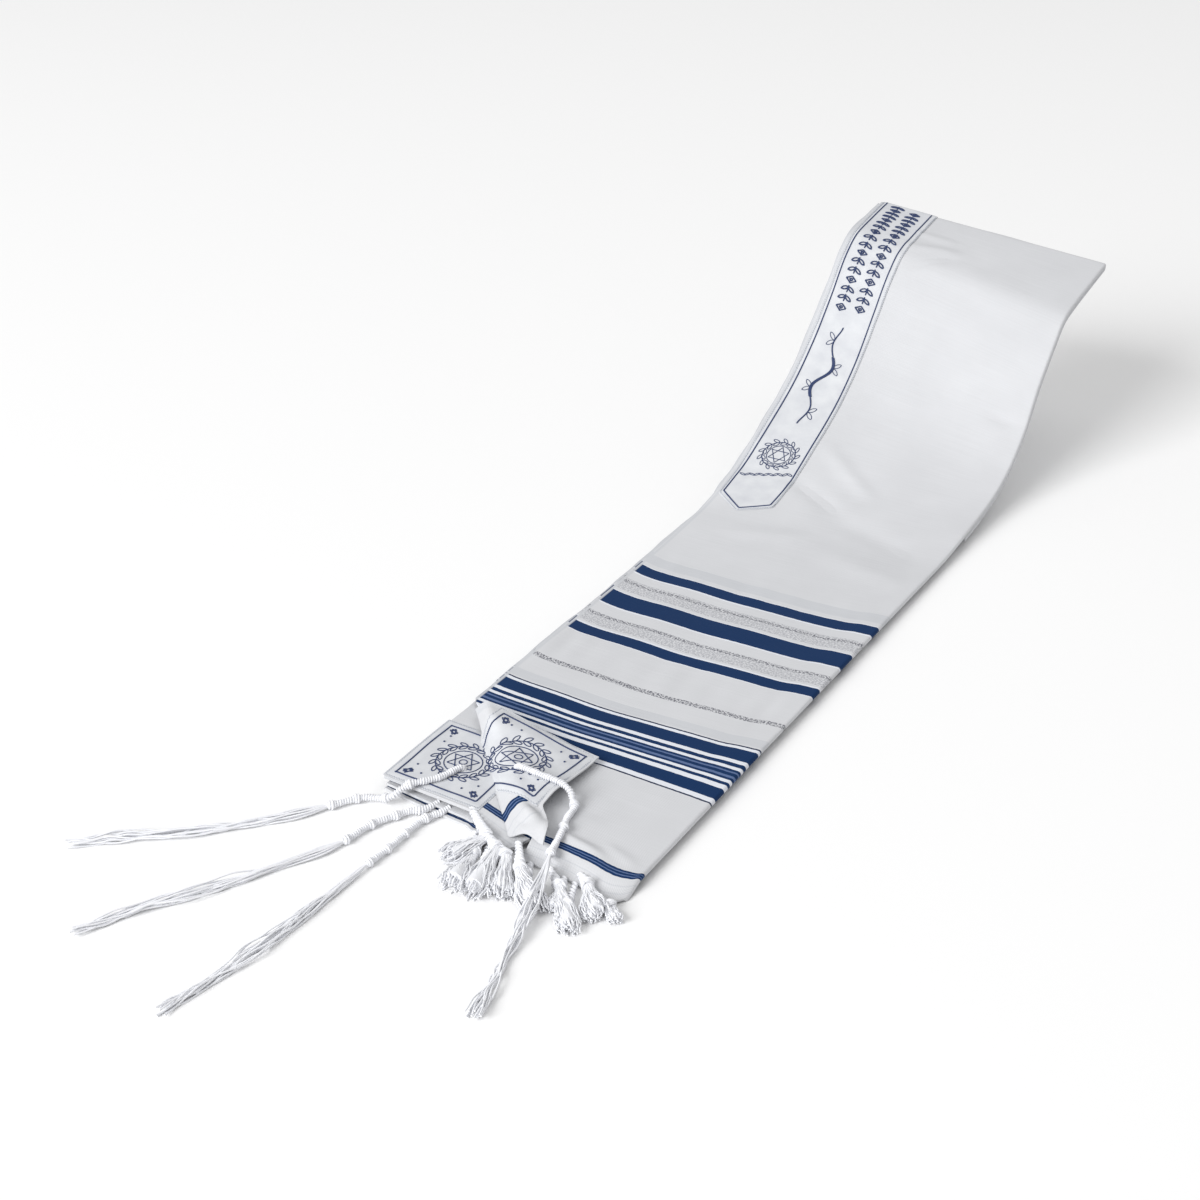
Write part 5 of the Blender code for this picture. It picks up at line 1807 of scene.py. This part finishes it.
def band_lines():
    """Border, bold lines and fine lines of the neckband, by their place in the cloth."""
    end = CROSS_FOLD - 0.001
    border = np.array([
        (0.0062, end), (0.0055, 0.860), (0.0066, 0.780), (0.0068, 0.660), (0.0055, 0.600), (0.0052, 0.577),
        (0.0300, 0.5548), (0.0540, 0.5702), (0.0550, 0.5960), (0.0543, 0.650), (0.0538, 0.760),
        (0.0522, 0.860), (0.0525, end),
    ])
    centre = np.array([0.0305, 0.6410])
    fine = leaf_ring(centre, radius=0.0150, count=13, length=0.0062, width=0.0027, tilt=0.55)
    fine += [circle(centre, 0.0108)] + star(centre, 0.0095)
    for k in range(11):
        at = np.array([0.0105 + 0.0040 * k, 0.6065 + 0.0014 * k])
        fine.append(leaf(at, 0.33 + (0.6 if k % 2 else -0.6), length=0.0056, width=0.0022))
    stem, leaves = vine(start=0.6800, end=0.7900, middle=0.0295, height=0.0062, waves=2.0)
    heavy = stem[45:115]
    bold = [stem, heavy + (0.0009, 0.0), heavy - (0.0009, 0.0)]
    for middle, shift in ((0.0195, 0.0), (0.0385, MARK_STEP / 2)):
        bold += mark_row(middle, MARKS_START, end - 0.004, MARK_STEP, shift)
    return [border], bold, fine + leaves


def zigzag(points, width, pitch):
    """A line's zigzag: points by turns on its left and its right."""
    points = resampled(points, pitch / 2)
    tangent = unit(np.gradient(points, axis=0))
    side = np.stack([-tangent[:, 1], tangent[:, 0]], -1)
    return points + side * (width / 2 * (-1.0) ** np.arange(len(points)))[:, None]


# %% Embroider the neckband
BAND_STITCHES = (
    Stitching("border", 0.0024, 0.00072),
    Stitching("bold", 0.0018, 0.00086),
    Stitching("fine", 0.0013, 0.00042),
)


def on_band(line, lift):
    """A line of the neckband's design, laid this far above the upper layer's face."""
    return band_point(line[:, 0], line[:, 1], np.zeros(len(line)), lift)


def embroider_band():
    meshes = []
    for kind, lines in zip(BAND_STITCHES, band_lines()):
        laid = [on_band(resampled(line, FINE_STEP), BAND_SEAT + BAND_RELIEF + THREAD_LIFT) for line in lines]
        meshes.append(stitched("neckband", kind, laid, spacing=0.62))
    work = join_meshes("neckband_embroidery", meshes, navy_thread)
    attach(work, "root")
    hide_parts("neckband")
    return work


band_work = embroider_band()
print("stitched polygons:", len(band_work.data.polygons))


# %% Sew the edges down
# The zigzag's width and pitch, how far it lies inside an edge, and half of a patch's mean side.
SEAM_WIDTH = 0.0017
SEAM_PITCH = 0.0022
SEAM_INSET = 0.0012
PATCH_HALF = 0.0445
# The neckband's seam: how far it lies inside the sides, where it turns round the point, how far it may
# reach to the right, and how high it lies.
BAND_SEAM_INSET = 0.0008
BAND_SEAM_LEFT = 0.5745
BAND_SEAM_RIGHT = 0.5790
BAND_SEAM_REACH = 0.0590
BAND_SEAM_LIFT = 0.0009


def band_seam():
    """The zigzag up both sides of the neckband and round its point."""
    left = BAND_LEFT + BAND_SEAM_INSET
    right = BAND_RIGHT - BAND_SEAM_INSET
    end = CROSS_FOLD - 0.001
    tip = [(row.across, row.along + SEAM_INSET) for row in BAND_TIP[1:3]]
    band = [(left, end), (left, BAND_SEAM_LEFT)] + tip + [(right, BAND_SEAM_RIGHT), (right, end)]
    line = resampled(zigzag(band, SEAM_WIDTH, SEAM_PITCH), FINE_STEP)
    line[:, 0] = np.clip(line[:, 0], 0.0, BAND_SEAM_REACH)
    return on_band(line, BAND_SEAM_LIFT)


def patch_seams(place, fold):
    """The zigzag round a patch, a little inside its edge, as far as its fold."""
    low = np.array([PATCH_LEFT_SIDE, PATCH_NEAR])
    high = np.array([PATCH_RIGHT_SIDE, PATCH_FAR])
    middle = (low + high) / 2
    corners = np.array([(0, 1), (0, 0), (1, 0), (1, 1), (0, 1)])
    inset = middle + (mix(low, high, corners) - middle) * (1 - SEAM_INSET / PATCH_HALF)
    line = resampled(zigzag(inset, SEAM_WIDTH, SEAM_PITCH), FINE_STEP)

    def inside(across, along):
        return along < fold(across) - 0.002

    return [patch_face(place, run[:, 0], run[:, 1], THREAD_LIFT) for run in kept_runs(line, inside)]


def sew_edges():
    """Zigzag stitches in pale grey thread along the edges of the patches and the neckband."""
    laid = [band_seam()] + patch_seams(flat_point, fold_along) + patch_seams(turned_point, turned_fold)
    mesh = grow(
        "edge_stitches", laid, [1.0] * len(laid), stitch_tree, stitch_length=0.0013, spacing=0.0008,
        thread_radius=0.00020, slant=0.0, material=grey_thread,
    )
    work = join_meshes("edge_stitches", [mesh], grey_thread)
    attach(work, "root")
    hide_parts("patch_left", "patch_right", "neckband")
    return work


edge_stitches = sew_edges()
print("edge stitches:", len(edge_stitches.data.polygons))
